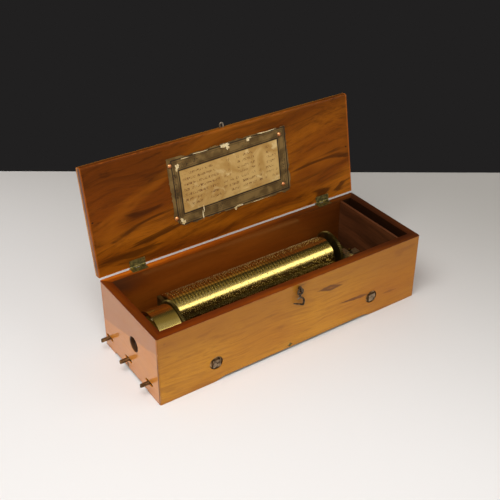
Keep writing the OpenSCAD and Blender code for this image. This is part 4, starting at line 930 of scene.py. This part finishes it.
def pin_row(x):
    """A mesh of the pins that one tooth plays."""
    row = bmesh.new()
    stand = Matrix.Translation((0, 0, TUBE_RADIUS + PIN_REACH / 2 - PIN_ROOT))
    for tune in range(TUNES):
        shift = (tune - (TUNES - 1) / 2) * TUNE_STEP
        axis = Matrix.Translation((x + shift, TUBE_AXIS.y, TUBE_AXIS.z))
        beat = dice.random()
        for _ in range(PINS_IN_A_TUNE):
            beat = (beat + dice.choice(BEAT_STEPS) / BEATS) % 1.0
            turn = Matrix.Rotation(math.tau * (BARE_STRIP + beat * (1 - BARE_STRIP)), 4, "X")
            bmesh.ops.create_cone(row, cap_ends=True, segments=PIN_SIDES, radius1=PIN_RADIUS,
                                  radius2=PIN_RADIUS * PIN_TAPER, depth=PIN_REACH,
                                  matrix=axis @ (turn @ stand))
    made = bpy.data.meshes.new("pin_row")
    row.to_mesh(made)
    row.free()
    return made


music = bmesh.new()
for tooth in range(COMB_TEETH):
    row_mesh = pin_row(comb_low.x + (tooth + 0.5) * TOOTH_PITCH - TOOTH_GAP / 2)
    music.from_mesh(row_mesh)
    bpy.data.meshes.remove(row_mesh)
pin_steel = metal("pin_steel", (186, 166, 118), (120, 98, 58), 0.3, 0.35, 0.5, 200.0)
pins = new_piece("cylinder_pins", music, "cylinder", pin_steel)
print("pins", len(pins.data.polygons) // (PIN_SIDES + 2))

# %% [markdown]
# ## The tune sheet
# A printed paper once listed the tunes. It is brown, torn all round and patched with bare flakes. It is drawn
# in the coordinates of the shut lid, where right is x and up is the distance from the lid's back edge. The
# browns of the paper come first: it is cloudy, and darker to the left.

# %% Paper
PAPER = shades((166, 126, 66), (192, 156, 94), (214, 186, 130))
aged_paper, tree, output = bare_material("aged_paper")
place = on_closed_lid(tree)
x, y, _ = split(tree, place)
rise = minus(tree, CASE_HALF.y, y)
tint = mix(tree, fade(tree, mottle(tree, place, 34.0, 4.0, 0.8), 0.36, 0.6), PAPER[0], PAPER[1])
tint = lay(tree, fade(tree, mottle(tree, place, 55.0, 3.0, 1.2), 0.54, 0.68), 0.7, tint, PAPER[2])
tint = lay(tree, fade(tree, x, 30 * MM, -66 * MM), 0.5, tint, PAPER[0])
print("browns of the paper", len(PAPER))

# %% [markdown]
# A printed frame runs round the sheet: a darker band with worn ornament, between thin dark rules. They are
# placed by the distance to the sides of two boxes, which slant a little, as the print sits askew.

# %% Printed frame
WINDOW = (-64.0, 70.5, 45.0, 95.0, 0.028)
FRAME = (-73.0, 82.5, 31.0, 108.5, 0.015)
FRAME_TINT = shades((86, 64, 30), (118, 92, 50))
INK = colour(34, 22, 14)


def inside(tree, x, rise, left, right, low, high, slope):
    """How far a point lies inside a slanting box, in metres; negative outside it."""
    level = ramp(tree, x, -slope, rise)
    wide = maths(tree, "MINIMUM", minus(tree, x, left * MM), minus(tree, right * MM, x))
    tall = maths(tree, "MINIMUM", minus(tree, level, low * MM), minus(tree, high * MM, level))
    return maths(tree, "MINIMUM", wide, tall)


window = inside(tree, x, rise, *WINDOW)
outline = inside(tree, x, rise, *FRAME)
border = mix(tree, fade(tree, mottle(tree, place, 70.0, 3.0), 0.4, 0.62), *FRAME_TINT)
ornament = fade(tree, mottle(tree, placed(tree, place, scale=(1.0, 0.6, 1.0)), 420.0, 2.0, 1.5), 0.52, 0.6)
off = maths(tree, "ABSOLUTE", maths(tree, "ADD", window, 7 * MM))
left_over = fade(tree, mottle(tree, place, 30.0, 1.0), 0.5, 0.56)
left_over = times(tree, fade(tree, off, 3.4 * MM, 2 * MM), left_over)
border = lay(tree, times(tree, ornament, left_over), 0.6, border, INK)
tint = mix(tree, fade(tree, window, 0.2 * MM, -0.2 * MM), tint, border)
for distance, at, width, strength in ((window, -1.2, 1.0, 0.9), (window, -3.4, 0.5, 0.55),
                                      (outline, 0.0, 1.0, 0.9), (outline, 2.4, 0.5, 0.5)):
    off = maths(tree, "ABSOLUTE", minus(tree, distance, at * MM))
    tint = lay(tree, fade(tree, off, width * MM, 0.4 * width * MM), strength, tint, INK)
print("window", WINDOW, "frame", FRAME)

# %% [markdown]
# Nobody can read the sheet now: the writing is gone but for flecks. Rows come from a folded ramp up the
# sheet, words and strokes from two noises, and all three are multiplied, so that no letter is ever formed.
# Brown spots of age lie at the left.

# %% Faded ink
ROW_GAP = 6.2 * MM
ROW_SLOPE = 0.03
FADED_INK = colour(96, 50, 22)
FOXED = colour(120, 66, 30)
level = ramp(tree, x, -ROW_SLOPE, rise)
rows = maths(tree, "PINGPONG", times(tree, level, 2 / ROW_GAP), 1.0)
words = fade(tree, mottle(tree, placed(tree, place, scale=(1.0, 0.25, 1.0)), 120.0, 1.0), 0.46, 0.54)
leaning = placed(tree, place, rotation=(0, 0, 0.5), scale=(1.4, 0.6, 1.0))
strokes = fade(tree, mottle(tree, leaning, 430.0, 2.0, 2.0), 0.5, 0.57)
flecks = times(tree, times(tree, fade(tree, rows, 0.35, 0.75), words), strokes)
tint = lay(tree, times(tree, flecks, fade(tree, window, 1.5 * MM, 4 * MM)), 0.9, tint, FADED_INK)
spots = fade(tree, mottle(tree, place, 700.0, 2.0), 0.62, 0.7)
tint = lay(tree, times(tree, spots, fade(tree, x, 10 * MM, -60 * MM)), 0.5, tint, FOXED)
crease = relief(tree, mottle(tree, place, 900.0, 3.0), 0.05 * MM, 0.4)
surface(tree, output, {"Base Color": tint, "Roughness": 0.78, "Normal": crease, "Specular IOR Level": 0.2})
print("paper nodes", len(tree.nodes))

# %% [markdown]
# The tear is a slow and a quick noise along the edge, with a lost corner at the lower left and a worn stretch
# at the top. The sheet is cockled by a slow noise that is held down near the tacks, and its edges curl.

# %% Tears and cockles
SHEET_CORNERS = (Vector((-80.0, 27.5)), Vector((86.0, 112.5)))
LOST_CORNER = 12.0
WORN_TOP = (-62, -8)
TACK_HOLD = 18.0
CURL_WIDTH = 6.0
TACKS = [(side * 75.0, high) for side in (-1, 1) for high in (39.0, 102.0)]


def ragged(x, rise, scale, seed):
    return noise.noise(Vector((x / scale, rise / scale, seed)))


def kept(x, rise):
    """Whether the paper is still there, from millimetres right and up."""
    low, high = SHEET_CORNERS
    bite = 1.4 + 1.5 * ragged(x, rise, 9.0, 3.0) + 0.8 * ragged(x, rise, 3.0, 8.0)
    worn_top = 2.2 * max(0.0, ragged(x, 0.0, 12.0, 5.0) + 0.35) if WORN_TOP[0] < x < WORN_TOP[1] else 0.0
    if x - low.x < bite or high.x - x < bite or rise - low.y < bite or high.y - rise < bite + worn_top:
        return False
    return (x - low.x) + (rise - low.y) > LOST_CORNER + 2.0 * ragged(x, rise, 4.0, 1.0)


def cockle(x, rise):
    """How far the paper stands off the lid, in metres."""
    held = min(1.0, min(math.hypot(x - tx, rise - ty) for tx, ty in TACKS) / TACK_HOLD)
    low, high = SHEET_CORNERS
    to_edge = min(x - low.x, high.x - x, rise - low.y, high.y - rise)
    curl = max(0.0, 1.0 - to_edge / CURL_WIDTH) ** 2 * (0.5 + 0.5 * ragged(x, rise, 7.0, 2.0))
    return (0.25 + (0.35 * (1 + ragged(x, rise, 22.0, 6.0)) + 1.1 * curl) * held) * MM


print("paper at the corner", kept(*SHEET_CORNERS[0]), "in the middle", kept(0.0, 70.0))

# %% [markdown]
# The sheet itself is a fine grid at first. The cells outside the torn edge are deleted, the steps that this
# leaves are smoothed, and each point is lifted off the lid. Last, the sheet is given the thickness of paper
# and turned to where the open lid is.

# %% Torn sheet
CELL = 1.1
PAPER_THICK = 0.3 * MM


def paper_piece(name, shape, thickness, material):
    """A piece made of a flat shape, thickened and turned to where the open lid is."""
    bmesh.ops.solidify(shape, geom=shape.faces[:], thickness=thickness)
    bmesh.ops.transform(shape, matrix=OPEN_LID, verts=shape.verts)
    bmesh.ops.recalc_face_normals(shape, faces=shape.faces)
    return new_piece(name, shape, "lid", material)


sheet = bmesh.new()
span = SHEET_CORNERS[1] - SHEET_CORNERS[0]
centre = (SHEET_CORNERS[1] + SHEET_CORNERS[0]) / 2
bmesh.ops.create_grid(sheet, x_segments=round(span.x / CELL), y_segments=round(span.y / CELL), size=0.5)
bmesh.ops.scale(sheet, vec=(span.x, span.y, 1), verts=sheet.verts)
bmesh.ops.translate(sheet, vec=(centre.x, centre.y, 0), verts=sheet.verts)
lost = [face for face in sheet.faces if not kept(*face.calc_center_median().xy)]
bmesh.ops.delete(sheet, geom=lost, context="FACES")
for _ in range(2):
    rim = [vert for vert in sheet.verts if vert.is_boundary]
    bmesh.ops.smooth_vert(sheet, verts=rim, factor=0.5, use_axis_x=True, use_axis_y=True)
for vert in sheet.verts:
    x, rise = vert.co.xy
    vert.co = Vector((x * MM, CASE_HALF.y - rise * MM, LID_UNDER - cockle(x, rise)))
bmesh.ops.recalc_face_normals(sheet, faces=sheet.faces)
torn_sheet = paper_piece("torn_sheet", sheet, PAPER_THICK, aged_paper)
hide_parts("tune_sheet")
print("sheet faces", len(torn_sheet.data.polygons), "cells torn off", len(lost))

# %% [markdown]
# Where the print has peeled, the clean core of the paper shows as small pale flakes that curl off the lid.
# Each is a disc with a ragged rim, bent up at one side.

# %% Pale flakes
FLAKES = [(-3, 108.5, 5.5, 2), (1.5, 105, 1.8, 3.2), (30, 107, 1.8, 2.2), (33, 108.6, 2.6, 0.8),
          (9, 31, 5, 1.3), (3.5, 29, 1.5, 2), (-41, 33.5, 0.7, 5.5), (-39, 41.5, 0.5, 3.8),
          (-66, 99.5, 2.2, 2.6), (-67.5, 96, 1, 2.4), (-69.5, 36, 1.6, 2.4), (-67, 32.5, 2.4, 2.8),
          (56, 110.3, 13, 0.6), (-35, 108.5, 9, 0.6), (-55, 107, 5, 0.6), (40, 29.6, 10, 0.5)]
FLAKE_TINT = shades((196, 166, 112), (228, 208, 164))
pale_paper, tree, output = bare_material("pale_paper")
tint = mix(tree, fade(tree, mottle(tree, here(tree), 260.0, 3.0), 0.35, 0.65), *FLAKE_TINT)
surface(tree, output, {"Base Color": tint, "Roughness": 0.85, "Specular IOR Level": 0.2})
flakes = bmesh.new()
for x, rise, half_wide, half_tall in FLAKES:
    disc = bmesh.ops.create_circle(flakes, cap_ends=True, cap_tris=True, segments=16, radius=1.0)["verts"]
    for vert in disc:
        reach = 1 + 0.9 * ragged(vert.co.x * 3 + x, vert.co.y * 3 + rise, 1.0, 4.0)
        off = Vector((vert.co.x * reach * half_wide, vert.co.y * reach * half_tall))
        lift = cockle(x, rise) + (0.35 + 0.35 * max(0.0, vert.co.x + vert.co.y)) * MM
        vert.co = Vector(((x + off.x) * MM, CASE_HALF.y - (rise + off.y) * MM, LID_UNDER - lift))
paper_piece("paper_flakes", flakes, 0.5 * PAPER_THICK, pale_paper)
print("flakes", len(FLAKES))
